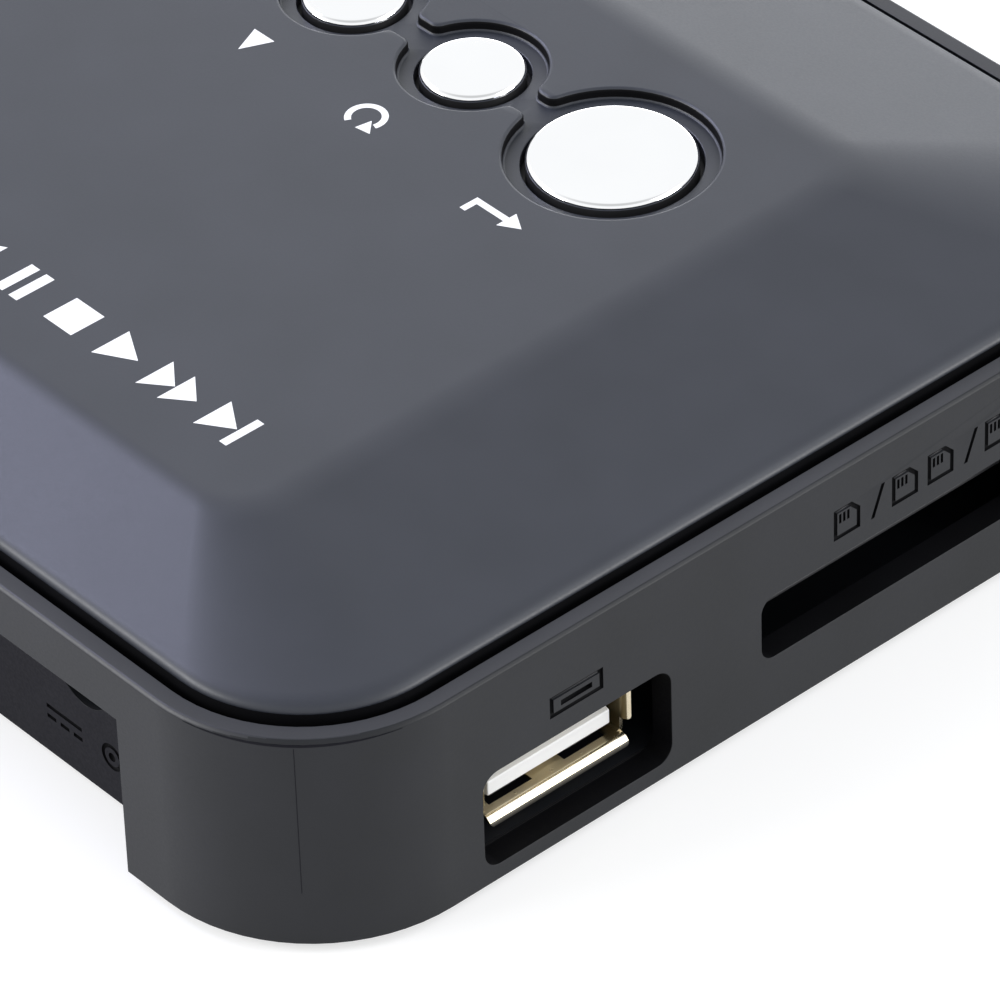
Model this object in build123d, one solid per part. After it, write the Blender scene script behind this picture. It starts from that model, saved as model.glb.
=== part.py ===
from build123d import *
import os

# Case, in millimetres. Heights run up from the case underside, and x is 0 at mid width.
WIDTH = 122.5
DEPTH = 90.6
CROWN_HEIGHT = 22.0
CORNER_RADIUS = 13.5
WALL = 2.0
FLOOR = 1.5

# Rim round the cover, below the crown, and the shelf inside it that the cover stands on
RIM_DROP = 4.3
RIM_WALL = 1.5
RIM_BEVEL = 0.5
SHELF_DROP = 2.5
SHELF_THICKNESS = 1.6
SHELF_SETBACK = 0.3

# Cover set inside the rim, with a flat crown that lies nearer to the rear than to the front
RIM_GROOVE = 0.8
COVER_WALL = 1.8
CROWN_RISE = 3.4
CROWN_BESIDE_KEYS = 14.35
CROWN_FROM_REAR = 11.6
CROWN_FROM_FRONT = 19.5
CROWN_CORNER = 5.0
CROWN_SOFTENING = 0.55
EDGE_FALL = 0.55
EDGE_LIFT = 0.13

# Rear recess for the cable plugs
RECESS_MARGIN = 17.8
RECESS_DEPTH = 4.1
RECESS_ROOF = 1.8

# Main board, carried on four standoffs
BOARD_HEIGHT = 8.9
BOARD_THICKNESS = 1.6
BOARD_SIDE_GAP = 2.2
BOARD_FRONT_GAP = 4.0
BOARD_REAR_GAP = 0.5
STANDOFF_RADIUS = 2.6
STANDOFF_FROM_LEFT = 36.0
STANDOFF_FROM_RIGHT = 13.5
STANDOFF_FROM_FRONT = 15.0
STANDOFF_FROM_REAR = 21.0

# Corner posts and the screws that hold the cover down
POST_INSET = 9.5
POST_RADIUS = 3.6
BOSS_DROP = 4.2
POST_CLEARANCE = 1.0
SCREW_RADIUS = 1.25
SCREW_HEAD_RADIUS = 2.3
SCREW_HEAD_HEIGHT = 1.6
SCREW_SINK = 3.0
SCREW_BITE = 5.0
SCREW_CLEARANCE = 0.05
HEAD_CLEARANCE = 0.3
BOARD_SCREW_BITE = 5.0

# Feet
FOOT_RADIUS = 4.0
FOOT_PROUD = 0.8
FOOT_SUNK = 0.7
FOOT_CLEARANCE = 0.1
FOOT_FROM_SIDE = 17.25
FOOT_FROM_END = 15.3

# Air slots in the floor, under the processor
VENT_COUNT = 7
VENT_WIDTH = 1.8
VENT_LENGTH = 24.0
VENT_PITCH = 4.4

# Keys, in one row across the crown
BIG_KEY_RADIUS = 6.2
SMALL_KEY_RADIUS = 3.9
KEY_PITCH = 13.0
BIG_KEY_PITCH = 14.9
KEYS_FROM_CROWN_FRONT = 12.2
KEY_GAP = 0.35
KEY_BEVEL = 0.35
KEY_TRAVEL = 0.5
KEY_LIP = 1.0
KEY_LIP_THICKNESS = 0.6
KEY_LIP_GAP = 0.2
KEY_STEM_SIDE = 3.6
STEM_CLEARANCE = 0.15
KEY_RECESS_MARGIN = 1.6
KEY_RECESS_DEPTH = 0.85
NECK_WIDTH = 2.4
NECK_ROUND = 0.8

# Guide plate that keeps the key stems upright, staked to the cover
GUIDE_THICKNESS = 0.9
GUIDE_MARGIN = 4.0
STAKE_SIDE = 1.6
STAKE_SHOULDER_SIDE = 2.8
STAKE_CLEARANCE = 0.05
STAKE_FROM_KEY = 5.4

# Push switches under the keys
SWITCH_SIDE = 6.0
SWITCH_BODY_HEIGHT = 3.2
SWITCH_COVER_THICKNESS = 0.3
SWITCH_PLUNGER_RADIUS = 1.75
SWITCH_PLUNGER_PROUD = 0.8
SWITCH_PLUNGER_DEEP = 1.0
PLUNGER_CLEARANCE = 0.15

# Room between the posts along the left flank: the shares of it behind the USB socket and between the sockets
USB_SHARE = 0.2
BETWEEN_SHARE = 0.44

# USB socket, hung under the board so that its tongue lies low
USB_SIDE_ROOM = 1.3
USB_END_ROOM = 0.5
USB_OPENING_ROUND = 1.4
USB_OPENING_DROP = 0.65
USB_SETBACK = 3.4
USB_LENGTH = 13.5
USB_SHELL_WIDTH = 13.1
USB_SHELL_HEIGHT = 5.8
SHEET = 0.3
FLARE_LENGTH = 1.0
FLARE_RISE = 0.65
FLARE_CORNER = 0.5
FINGER_SPACING = 6.8
FINGER_WIDTH = 2.3
FINGER_GAP = 0.5
FINGER_SETBACK = 1.7
FINGER_LENGTH = 4.6
FINGER_RISE = 0.3
TONGUE_SIDE_GAP = 0.7
TONGUE_THICKNESS = 1.8
TONGUE_LIFT = 0.65
TONGUE_SETBACK = 0.15
TONGUE_CHAMFER = 0.35
SOCKET_BACK = 4.0
CONTACT_COUNT = 4
CONTACT_MARGIN = 2.1
CONTACT_WIDTH = 1.0
CONTACT_THICKNESS = 0.15
CONTACT_SETBACK = 0.8

# Memory card socket, also under the board
CARD_SIDE_ROOM = 1.0
CARD_FINGER_ROOM = 1.65
CARD_OPENING_ROUND = 1.2
CARD_WIDTH = 24.0
CARD_THICKNESS = 2.1
CARD_CLEARANCE = 0.2
CARD_SOCKET_LENGTH = 25.0
CARD_SOCKET_SETBACK = 3.4
CARD_RAIL = 1.2
CARD_BACK = 3.0
CARD_CONTACT_COUNT = 9
CARD_CONTACT_MARGIN = 2.0
CARD_CONTACT_LENGTH = 6.0

# Ports in the recessed rear panel, sunk into the rear edge of the board
PORT_CLEARANCE = 0.3
PORT_INSET = 0.5
DC_FROM_LEFT = 26.7
DC_NOSE_RADIUS = 2.55
DC_BORE_RADIUS = 1.85
DC_PIN_RADIUS = 0.65
DC_BODY_WIDTH = 7.6
DC_BODY_HEIGHT = 6.0
DC_BODY_LENGTH = 12.0
DC_BORE_DEPTH = 10.0
DC_PIN_SETBACK = 1.0
DC_PIN_BEVEL = 0.3
AV_FROM_LEFT = 45.5
AV_NOSE_RADIUS = 3.0
AV_BORE_RADIUS = 1.8
AV_BORE_DEPTH = 13.5
AV_BODY_WIDTH = 7.0
AV_BODY_HEIGHT = 6.4
AV_BODY_LENGTH = 14.0
VIDEO_FROM_RIGHT = 44.0
VIDEO_WIDTH = 14.6
VIDEO_HEIGHT = 5.2
VIDEO_CHAMFER = 1.5
VIDEO_LENGTH = 12.0
VIDEO_TONGUE_GAP = 1.4
VIDEO_TONGUE_THICKNESS = 1.2
VIDEO_TONGUE_SETBACK = 1.2

# Parts on top of the board
CHIP_SIDE = 21.0
CHIP_HEIGHT = 1.6
CHIP_BEVEL = 0.3
PAD_THICKNESS = 0.5
SINK_OVERHANG = 0.5
SINK_BASE = 1.2
SINK_HEIGHT = 3.4
SINK_FINS = 8
SINK_FIN = 1.0
MEMORY_WIDTH = 9.0
MEMORY_LENGTH = 13.0
MEMORY_HEIGHT = 1.1
MEMORY_GAP = 3.0
FLASH_WIDTH = 18.4
FLASH_LENGTH = 12.0
FLASH_HEIGHT = 1.2
FLASH_FROM_RIGHT = 34.0
FLASH_FROM_FRONT = 19.0
CRYSTAL_WIDTH = 10.5
CRYSTAL_DEPTH = 4.0
CRYSTAL_HEIGHT = 3.4
CAPACITOR_RADIUS = 3.15
CAPACITOR_HEIGHT = 5.4
CAPACITOR_BASE = 1.0
CAPACITOR_PITCH = 8.0
INDUCTOR_SIDE = 6.0
INDUCTOR_HEIGHT = 3.0
INDUCTOR_GAP = 2.0
INDUCTOR_BEVEL = 1.0

# Remote control receiver, status lamp and the dark window in front of them
WINDOW_WIDTH = 15.0
WINDOW_HEIGHT = 5.4
WINDOW_ROUND = 1.5
WINDOW_FLANGE = 0.8
WINDOW_LIP = 0.8
WINDOW_CLEARANCE = 0.1
WINDOW_FROM_RIGHT = 25.0
WINDOW_LEVEL = 5.6
RECEIVER_WIDTH = 5.4
RECEIVER_DEPTH = 3.6
RECEIVER_HEIGHT = 5.6
RECEIVER_LENS_RADIUS = 1.9
RECEIVER_LENS_PROUD = 0.9
LAMP_RADIUS = 1.5
LAMP_LENGTH = 4.0
LAMP_BLOCK = 3.4
LAMP_PROUD = 2.4
LAMP_BEVEL = 0.5
SENSOR_PITCH = 7.0
SENSOR_SETBACK = 1.5

# Faces and levels that several pieces share
LEFT = -WIDTH / 2
RIGHT = WIDTH / 2
REAR = DEPTH / 2
FRONT = -DEPTH / 2
rim_height = CROWN_HEIGHT - RIM_DROP
shelf_height = rim_height - SHELF_DROP
post_height = shelf_height - BOSS_DROP
recess_height = shelf_height - RECESS_ROOF
ceiling = CROWN_HEIGHT - COVER_WALL
crown_from_side = WIDTH / 2 - KEY_PITCH - BIG_KEY_PITCH - CROWN_BESIDE_KEYS
cover_inset = RIM_WALL + RIM_GROOVE
shelf_inset = cover_inset + COVER_WALL - SHELF_SETBACK
recess_half = WIDTH / 2 - RECESS_MARGIN
panel_outer = REAR - RECESS_DEPTH
panel_inner = panel_outer - WALL
board_top = BOARD_HEIGHT + BOARD_THICKNESS
board_left = LEFT + WALL + BOARD_SIDE_GAP
board_front = FRONT + WALL + BOARD_FRONT_GAP
board_rear = panel_inner - BOARD_REAR_GAP

# Ports and sockets
port_level = BOARD_HEIGHT + BOARD_THICKNESS / 2
port_front = panel_outer - PORT_INSET
video_inner = port_front - VIDEO_LENGTH
dc_x = LEFT + DC_FROM_LEFT
av_x = LEFT + AV_FROM_LEFT
video_x = RIGHT - VIDEO_FROM_RIGHT
card_inner_half = CARD_WIDTH / 2 + CARD_CLEARANCE
card_outer_half = card_inner_half + CARD_RAIL + SHEET
flank_reach = DEPTH / 2 - POST_INSET - POST_RADIUS - POST_CLEARANCE
flank_room = 2 * flank_reach - USB_SHELL_WIDTH - 2 * card_outer_half
usb_y = flank_reach - USB_SHARE * flank_room - USB_SHELL_WIDTH / 2
card_y = usb_y - USB_SHELL_WIDTH / 2 - BETWEEN_SHARE * flank_room - card_outer_half
usb_front = LEFT + USB_SETBACK
usb_level = BOARD_HEIGHT - USB_SHELL_HEIGHT / 2
usb_floor = usb_level - USB_SHELL_HEIGHT / 2
tongue_low = usb_floor + SHEET + TONGUE_LIFT
tongue_half = USB_SHELL_WIDTH / 2 - SHEET - TONGUE_SIDE_GAP
card_front = LEFT + CARD_SOCKET_SETBACK
card_rear = card_front + CARD_SOCKET_LENGTH
card_floor = BOARD_HEIGHT - CONTACT_THICKNESS - CARD_THICKNESS - CARD_CLEARANCE - SHEET
card_level = (BOARD_HEIGHT + card_floor) / 2

# Keys, switches and what stands between them and the ports
key_y = FRONT + CROWN_FROM_FRONT + KEYS_FROM_CROWN_FRONT
switch_top = board_top + SWITCH_BODY_HEIGHT + SWITCH_COVER_THICKNESS
stem_foot = switch_top + SWITCH_PLUNGER_PROUD
lip_top = ceiling - KEY_LIP_GAP
lip_foot = lip_top - KEY_LIP_THICKNESS
guide_top = lip_foot - KEY_TRAVEL - KEY_LIP_GAP
guide_foot = guide_top - GUIDE_THICKNESS
chip_y = (key_y + SWITCH_SIDE / 2 + video_inner) / 2
sink_half = CHIP_SIDE / 2 + SINK_OVERHANG
window_x = RIGHT - WINDOW_FROM_RIGHT
sensor_front = board_front + SENSOR_SETBACK

KEYS = {
    "ok": (-KEY_PITCH - BIG_KEY_PITCH, BIG_KEY_RADIUS),
    "return": (-KEY_PITCH, SMALL_KEY_RADIUS),
    "up": (0, SMALL_KEY_RADIUS),
    "down": (KEY_PITCH, SMALL_KEY_RADIUS),
    "power": (KEY_PITCH + BIG_KEY_PITCH, BIG_KEY_RADIUS),
}
CORNERS = [(side, end) for side in (-1, 1) for end in (-1, 1)]
POSTS = [(side * (WIDTH / 2 - POST_INSET), end * (DEPTH / 2 - POST_INSET)) for side, end in CORNERS]
FEET = [(side * (WIDTH / 2 - FOOT_FROM_SIDE), end * (DEPTH / 2 - FOOT_FROM_END)) for side, end in CORNERS]
STANDOFFS = [
    (LEFT + STANDOFF_FROM_LEFT, FRONT + STANDOFF_FROM_FRONT),
    (LEFT + STANDOFF_FROM_LEFT, REAR - STANDOFF_FROM_REAR),
    (RIGHT - STANDOFF_FROM_RIGHT, FRONT + STANDOFF_FROM_FRONT),
    (RIGHT - STANDOFF_FROM_RIGHT, REAR - STANDOFF_FROM_REAR),
]
STAKES = [
    (middle, key_y + end * STAKE_FROM_KEY)
    for middle in (-KEY_PITCH - SMALL_KEY_RADIUS - KEY_LIP, KEY_PITCH + SMALL_KEY_RADIUS + KEY_LIP)
    for end in (-1, 1)
]


def block(x_low, x_high, y_low, y_high, z_low, z_high):
    """A box given by its limits."""
    corner = (Align.MIN, Align.MIN, Align.MIN)
    return Pos(x_low, y_low, z_low) * Box(x_high - x_low, y_high - y_low, z_high - z_low, align=corner)


def pillar(x, y, side, low, high):
    """An upright square bar between two heights."""
    half = side / 2
    return block(x - half, x + half, y - half, y + half, low, high)


def rod(x, y, radius, low, high):
    """An upright cylinder between two heights."""
    upright = (Align.CENTER, Align.CENTER, Align.MIN)
    return Pos(x, y, low) * Cylinder(radius, high - low, align=upright)


def rod_to_rear(x, level, radius, y_low, y_high):
    """A cylinder that runs towards the rear at one height."""
    return Pos(x, y_low, level) * Rot(-90, 0, 0) * rod(0, 0, radius, 0, y_high - y_low)


def case_plan(inset, height):
    """The case outline at one height, moved in from the outside by an inset."""
    outline = RectangleRounded(WIDTH - 2 * inset, DEPTH - 2 * inset, CORNER_RADIUS - inset)
    return Pos(0, 0, height) * outline


def case_prism(inset, low, high):
    return extrude(case_plan(inset, low), high - low)


def flank_opening(y, level, width, height, corner):
    """A rounded hole through the left flank."""
    outside = Plane((LEFT - WALL, y, level), x_dir=(0, 1, 0), z_dir=(1, 0, 0))
    return extrude(outside * RectangleRounded(width, height, corner), 2 * WALL)


def video_outline(growth):
    """The digital video socket's outline, wide at the top and narrowed at the foot."""
    half = VIDEO_WIDTH / 2 + growth
    top = VIDEO_HEIGHT / 2 + growth
    slant = top - VIDEO_CHAMFER
    points = [(-half, top), (half, top), (half, -slant), (half - VIDEO_CHAMFER, -top)]
    points += [(-half + VIDEO_CHAMFER, -top), (-half, -slant)]
    return make_face(Polyline(*points, close=True))


def video_prism(growth, y_low, y_high):
    """The video socket's outline run from one depth to another, towards the front."""
    face = Plane((video_x, y_high, port_level), x_dir=(1, 0, 0), z_dir=(0, -1, 0)) * video_outline(growth)
    return extrude(face, y_high - y_low)


def housing_cavity():
    """The space inside the housing, narrowed by the shelf that carries the cover."""
    shelf_foot = shelf_height - SHELF_THICKNESS
    space = case_prism(WALL, FLOOR, shelf_foot) + case_prism(shelf_inset, shelf_foot, shelf_height)
    reach = recess_half + WALL
    return space - block(-reach, reach, panel_inner, REAR, 0, shelf_height)


def lower_housing():
    """The moulded tray: walls, rim, cover shelf, port recess, posts, standoffs and openings."""
    tray = case_prism(0, 0, rim_height)
    tray = chamfer(tray.faces().sort_by(Axis.Z)[-1].edges(), RIM_BEVEL)
    tray -= housing_cavity()
    tray -= case_prism(RIM_WALL, shelf_height, rim_height)
    tray -= block(-recess_half, recess_half, panel_outer, REAR, 0, recess_height)
    for x, y in POSTS:
        tray += rod(x, y, POST_RADIUS, FLOOR, post_height)
        tray -= rod(x, y, SCREW_HEAD_RADIUS + HEAD_CLEARANCE, 0, SCREW_SINK)
        tray -= rod(x, y, SCREW_RADIUS + HEAD_CLEARANCE, 0, post_height)
    for x, y in STANDOFFS:
        tray += rod(x, y, STANDOFF_RADIUS, FLOOR, BOARD_HEIGHT)
        tray -= rod(x, y, SCREW_RADIUS + SCREW_CLEARANCE, BOARD_HEIGHT - BOARD_SCREW_BITE, BOARD_HEIGHT)
    for x, y in FEET:
        tray -= rod(x, y, FOOT_RADIUS + FOOT_CLEARANCE, 0, FOOT_SUNK)
    for index in range(VENT_COUNT):
        x = (index - (VENT_COUNT - 1) / 2) * VENT_PITCH
        tray -= Pos(x, chip_y, FLOOR / 2) * Box(VENT_WIDTH, VENT_LENGTH, FLOOR)
    tray -= usb_opening()
    tray -= card_opening()
    tray -= rod_to_rear(dc_x, port_level, DC_NOSE_RADIUS + PORT_CLEARANCE, panel_inner, panel_outer)
    tray -= rod_to_rear(av_x, port_level, AV_NOSE_RADIUS + PORT_CLEARANCE, panel_inner, panel_outer)
    tray -= video_prism(PORT_CLEARANCE, panel_inner, panel_outer)
    tray -= window_pane(WINDOW_CLEARANCE, FRONT, FRONT + WALL)
    return tray


def usb_opening():
    """The hole in the flank that lets the grip of a plug in as far as the shell's lips."""
    width = USB_SHELL_WIDTH + 2 * (FLARE_RISE + USB_SIDE_ROOM)
    height = USB_SHELL_HEIGHT + 2 * (FLARE_RISE + USB_END_ROOM)
    return flank_opening(usb_y, usb_level - USB_OPENING_DROP, width, height, USB_OPENING_ROUND)


def card_opening():
    """The slot in the flank for a card and the fingertip that pushes it in."""
    width = CARD_WIDTH + 2 * CARD_SIDE_ROOM
    height = CARD_THICKNESS + 2 * CARD_FINGER_ROOM
    return flank_opening(card_y, card_level, width, height, CARD_OPENING_ROUND)


def slope_plan(share, inset, height):
    """The outline that the cover's slopes reach at a share of their rise, laid at one height."""
    side = cover_inset + inset + share * (crown_from_side - cover_inset - inset)
    rear = cover_inset + inset + share * (CROWN_FROM_REAR - cover_inset - inset)
    front = cover_inset + inset + share * (CROWN_FROM_FRONT - cover_inset - inset)
    edge_corner = CORNER_RADIUS - cover_inset - inset
    corner = edge_corner + share * (CROWN_CORNER - edge_corner)
    outline = RectangleRounded(WIDTH - 2 * side, DEPTH - rear - front, corner)
    return (Pos(0, (front - rear) / 2, height) * outline).face()


def crown_form(inset, drop):
    """The solid below the crown: a straight skirt, a soft edge, four slopes and a softened flat top."""
    crown = CROWN_HEIGHT - drop
    edge = crown - CROWN_RISE
    lift = EDGE_LIFT / CROWN_RISE
    soft = CROWN_SOFTENING / CROWN_RISE
    rings = [
        slope_plan(0, inset, edge - EDGE_FALL),
        slope_plan(lift, inset, edge + EDGE_LIFT),
        slope_plan(1 - soft, inset, crown - CROWN_SOFTENING),
        slope_plan(1 + soft, inset, crown),
    ]
    skirt = case_prism(cover_inset + inset, shelf_height, edge - EDGE_FALL)
    return skirt + loft(rings, ruled=True)


def key_recess():
    """The shallow pocket round the keys: a circle for each, joined by narrow necks."""
    reach = KEY_PITCH + BIG_KEY_PITCH
    outline = Rectangle(2 * reach, NECK_WIDTH)
    for x, radius in KEYS.values():
        outline += Pos(x, 0) * Circle(radius + KEY_RECESS_MARGIN)
    outline = fillet(outline.vertices(), NECK_ROUND)
    return extrude(Pos(0, key_y, CROWN_HEIGHT - KEY_RECESS_DEPTH) * outline, KEY_RECESS_DEPTH)


def top_cover():
    """The moulded cover: softened crown of even wall, key pocket, key holes, bosses and stakes."""
    hollow = crown_form(COVER_WALL, COVER_WALL)
    cover = crown_form(0, 0) - hollow
    for x, y in POSTS:
        cover += hollow & rod(x, y, POST_RADIUS, shelf_height, CROWN_HEIGHT)
        cover += rod(x, y, POST_RADIUS, post_height, shelf_height)
        cover -= rod(x, y, SCREW_RADIUS + SCREW_CLEARANCE, post_height, post_height + SCREW_BITE)
    for x, y in STAKES:
        cover += pillar(x, y, STAKE_SHOULDER_SIDE, guide_top, ceiling)
        cover += pillar(x, y, STAKE_SIDE, guide_foot, guide_top)
    cover -= key_recess()
    for x, radius in KEYS.values():
        cover -= rod(x, key_y, radius + KEY_GAP, ceiling, CROWN_HEIGHT)
    return cover


def key_cap(x, radius):
    """A plated cap with a lip that stays under the cover and a square stem that rests on its switch."""
    cap = rod(x, key_y, radius, lip_top, CROWN_HEIGHT)
    cap = chamfer(cap.faces().sort_by(Axis.Z)[-1].edges(), KEY_BEVEL)
    cap += rod(x, key_y, radius + KEY_LIP, lip_foot, lip_top)
    return cap + pillar(x, key_y, KEY_STEM_SIDE, stem_foot, lip_foot)


def key_guide():
    """The plate under the cover with a square hole for each key stem."""
    reach = KEY_PITCH + BIG_KEY_PITCH + KEY_STEM_SIDE / 2 + GUIDE_MARGIN
    half = STAKE_FROM_KEY + STAKE_SHOULDER_SIDE / 2
    guide = block(-reach, reach, key_y - half, key_y + half, guide_foot, guide_top)
    for x, radius in KEYS.values():
        guide -= pillar(x, key_y, KEY_STEM_SIDE + 2 * STEM_CLEARANCE, guide_foot, guide_top)
    for x, y in STAKES:
        guide -= pillar(x, y, STAKE_SIDE + 2 * STAKE_CLEARANCE, guide_foot, guide_top)
    return guide


def switch_body(x):
    """The square base of a push switch, hollowed for its plunger."""
    top = board_top + SWITCH_BODY_HEIGHT
    well = SWITCH_PLUNGER_DEEP + KEY_TRAVEL + PLUNGER_CLEARANCE
    room = 2 * (SWITCH_PLUNGER_RADIUS + PLUNGER_CLEARANCE)
    return pillar(x, key_y, SWITCH_SIDE, board_top, top) - pillar(x, key_y, room, top - well, top)


def switch_cover(x):
    """The steel plate that closes a push switch round its plunger."""
    low = switch_top - SWITCH_COVER_THICKNESS
    plate = pillar(x, key_y, SWITCH_SIDE, low, switch_top)
    return plate - rod(x, key_y, SWITCH_PLUNGER_RADIUS + PLUNGER_CLEARANCE, low, switch_top)


def switch_plunger(x):
    low = switch_top - SWITCH_COVER_THICKNESS - SWITCH_PLUNGER_DEEP
    return rod(x, key_y, SWITCH_PLUNGER_RADIUS, low, stem_foot)


def main_board():
    """The circuit board, cut away for the posts and for the ports sunk in its rear edge."""
    board = block(board_left, -board_left, board_front, board_rear, BOARD_HEIGHT, board_top)
    room = POST_RADIUS + POST_CLEARANCE
    for x, y in POSTS:
        board -= block(x - room, x + room, y - room, y + room, BOARD_HEIGHT, board_top)
        side = 1 if x > 0 else -1
        end = 1 if y > 0 else -1
        edge_x = sorted((x - side * room, side * WIDTH / 2))
        edge_y = sorted((y - end * room, end * DEPTH / 2))
        board -= block(*edge_x, *edge_y, BOARD_HEIGHT, board_top)
    for x, width, length in port_bodies():
        half = width / 2 + PORT_CLEARANCE
        board -= block(x - half, x + half, length, board_rear, BOARD_HEIGHT, board_top)
    for x, y in STANDOFFS:
        board -= rod(x, y, SCREW_RADIUS + HEAD_CLEARANCE, BOARD_HEIGHT, board_top)
    return board


def port_bodies():
    """Middle, width and inner end of each port body sunk in the board."""
    return [
        (dc_x, DC_BODY_WIDTH, panel_inner - DC_BODY_LENGTH - PORT_CLEARANCE),
        (av_x, AV_BODY_WIDTH, panel_inner - AV_BODY_LENGTH - PORT_CLEARANCE),
        (video_x, VIDEO_WIDTH, video_inner - PORT_CLEARANCE),
    ]


def flap(width, edge):
    """One flared lip of the USB shell, with round tip corners, rising outwards from the shell's edge."""
    tip = -FLARE_LENGTH
    rise = edge + FLARE_RISE
    section = Polyline((0, edge), (tip, rise), (tip, rise - SHEET), (0, edge - SHEET), close=True)
    plate = extrude(Plane.XZ * make_face(section), width / 2, both=True)
    plan = Rectangle(FLARE_LENGTH, width, align=(Align.MAX, Align.CENTER))
    plan = fillet(plan.vertices().group_by(Axis.X)[0], FLARE_CORNER)
    return plate & extrude(plan, rise)


def spring_finger():
    """A finger of the shell's lower sheet, joined at its inner end and bent up at its tip."""
    tip = FINGER_SETBACK + FINGER_GAP
    root = FINGER_SETBACK + FINGER_LENGTH
    section = Polyline((root, 0), (root, SHEET), (tip, SHEET + FINGER_RISE), (tip, FINGER_RISE), close=True)
    return extrude(Plane.XZ * make_face(section), FINGER_WIDTH / 2, both=True)


def usb_shell():
    """The folded sheet shell of the USB socket, with four flared lips and two spring fingers below."""
    profile = Rectangle(USB_SHELL_WIDTH, USB_SHELL_HEIGHT)
    profile -= Rectangle(USB_SHELL_WIDTH - 2 * SHEET, USB_SHELL_HEIGHT - 2 * SHEET)
    mouth = Plane((usb_front, usb_y, usb_level), x_dir=(0, 1, 0), z_dir=(1, 0, 0))
    shell = extrude(mouth * profile, USB_LENGTH)
    wide = USB_SHELL_WIDTH - 2 * FLARE_CORNER
    tall = USB_SHELL_HEIGHT - 2 * FLARE_CORNER - 2 * SHEET
    for turn in (0, 180):
        shell += Pos(usb_front, usb_y, usb_level) * Rot(turn, 0, 0) * flap(wide, USB_SHELL_HEIGHT / 2)
    for turn in (90, 270):
        shell += Pos(usb_front, usb_y, usb_level) * Rot(turn, 0, 0) * flap(tall, USB_SHELL_WIDTH / 2)
    start = usb_front + FINGER_SETBACK
    reach = FINGER_WIDTH / 2 + FINGER_GAP
    for y in (usb_y - FINGER_SPACING / 2, usb_y + FINGER_SPACING / 2):
        shell -= block(start, start + FINGER_LENGTH, y - reach, y + reach, usb_floor, usb_floor + SHEET)
        shell += Pos(usb_front, y, usb_floor) * spring_finger()
    return shell


def usb_tongue():
    """The moulded insulator: a back block that fills the shell and a low tongue."""
    rear = usb_front + USB_LENGTH
    half = USB_SHELL_WIDTH / 2 - SHEET
    root = rear - SOCKET_BACK
    back = block(root, rear, usb_y - half, usb_y + half, usb_floor + SHEET, BOARD_HEIGHT - SHEET)
    front = usb_front + TONGUE_SETBACK
    top = tongue_low + TONGUE_THICKNESS
    tongue = block(front, root, usb_y - tongue_half, usb_y + tongue_half, tongue_low, top)
    nose = tongue.edges().filter_by(Axis.Y).group_by(Axis.X)[0]
    return back + chamfer(nose, TONGUE_CHAMFER)


def usb_contacts():
    """Four contact strips on the upper face of the tongue."""
    low = tongue_low + TONGUE_THICKNESS
    start = usb_front + TONGUE_SETBACK + CONTACT_SETBACK
    end = usb_front + USB_LENGTH - SOCKET_BACK
    half = CONTACT_WIDTH / 2
    pitch = 2 * (tongue_half - CONTACT_MARGIN) / (CONTACT_COUNT - 1)
    strips = []
    for index in range(CONTACT_COUNT):
        y = usb_y + (index - (CONTACT_COUNT - 1) / 2) * pitch
        strips.append(block(start, end, y - half, y + half, low, low + CONTACT_THICKNESS))
    return strips


def card_socket_base():
    """The socket's moulded frame: two rails and a back bar, open towards the flank."""
    inner = card_inner_half
    outer = inner + CARD_RAIL
    low = card_floor + SHEET
    frame = block(card_front, card_rear, card_y - outer, card_y + outer, low, BOARD_HEIGHT)
    room = block(card_front, card_rear - CARD_BACK, card_y - inner, card_y + inner, low, BOARD_HEIGHT)
    return frame - room


def card_socket_cover():
    """The sheet cover folded over the foot of the frame and up its sides."""
    outer = card_outer_half
    inner = outer - SHEET
    sheet = block(card_front, card_rear, card_y - outer, card_y + outer, card_floor, BOARD_HEIGHT)
    room = block(card_front, card_rear, card_y - inner, card_y + inner, card_floor + SHEET, BOARD_HEIGHT)
    return sheet - room


def card_contacts():
    """A row of contact strips that run out of the back bar, against the board."""
    rear = card_rear - CARD_BACK
    half = CONTACT_WIDTH / 2
    low = BOARD_HEIGHT - CONTACT_THICKNESS
    pitch = (CARD_WIDTH - 2 * CARD_CONTACT_MARGIN) / (CARD_CONTACT_COUNT - 1)
    strips = []
    for index in range(CARD_CONTACT_COUNT):
        y = card_y + (index - (CARD_CONTACT_COUNT - 1) / 2) * pitch
        strips.append(block(rear - CARD_CONTACT_LENGTH, rear, y - half, y + half, low, BOARD_HEIGHT))
    return strips


def dc_jack_body():
    """The power inlet: a block behind the panel with a round nose in the panel's hole."""
    half = DC_BODY_WIDTH / 2
    tall = DC_BODY_HEIGHT / 2
    inner_end = panel_inner - DC_BODY_LENGTH
    body = block(dc_x - half, dc_x + half, inner_end, panel_inner, port_level - tall, port_level + tall)
    body += rod_to_rear(dc_x, port_level, DC_NOSE_RADIUS, panel_inner, port_front)
    return body - rod_to_rear(dc_x, port_level, DC_BORE_RADIUS, port_front - DC_BORE_DEPTH, port_front)


def dc_jack_pin():
    start = port_front - DC_BORE_DEPTH
    pin = rod_to_rear(dc_x, port_level, DC_PIN_RADIUS, start, port_front - DC_PIN_SETBACK)
    return chamfer(pin.faces().sort_by(Axis.Y)[-1].edges(), DC_PIN_BEVEL)


def av_jack_body():
    """The sound and picture jack: a block bored for a small round plug."""
    half = AV_BODY_WIDTH / 2
    tall = AV_BODY_HEIGHT / 2
    inner_end = panel_inner - AV_BODY_LENGTH
    body = block(av_x - half, av_x + half, inner_end, panel_inner, port_level - tall, port_level + tall)
    body -= rod_to_rear(av_x, port_level, AV_BORE_RADIUS, port_front - AV_BORE_DEPTH, panel_inner)
    return body


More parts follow.
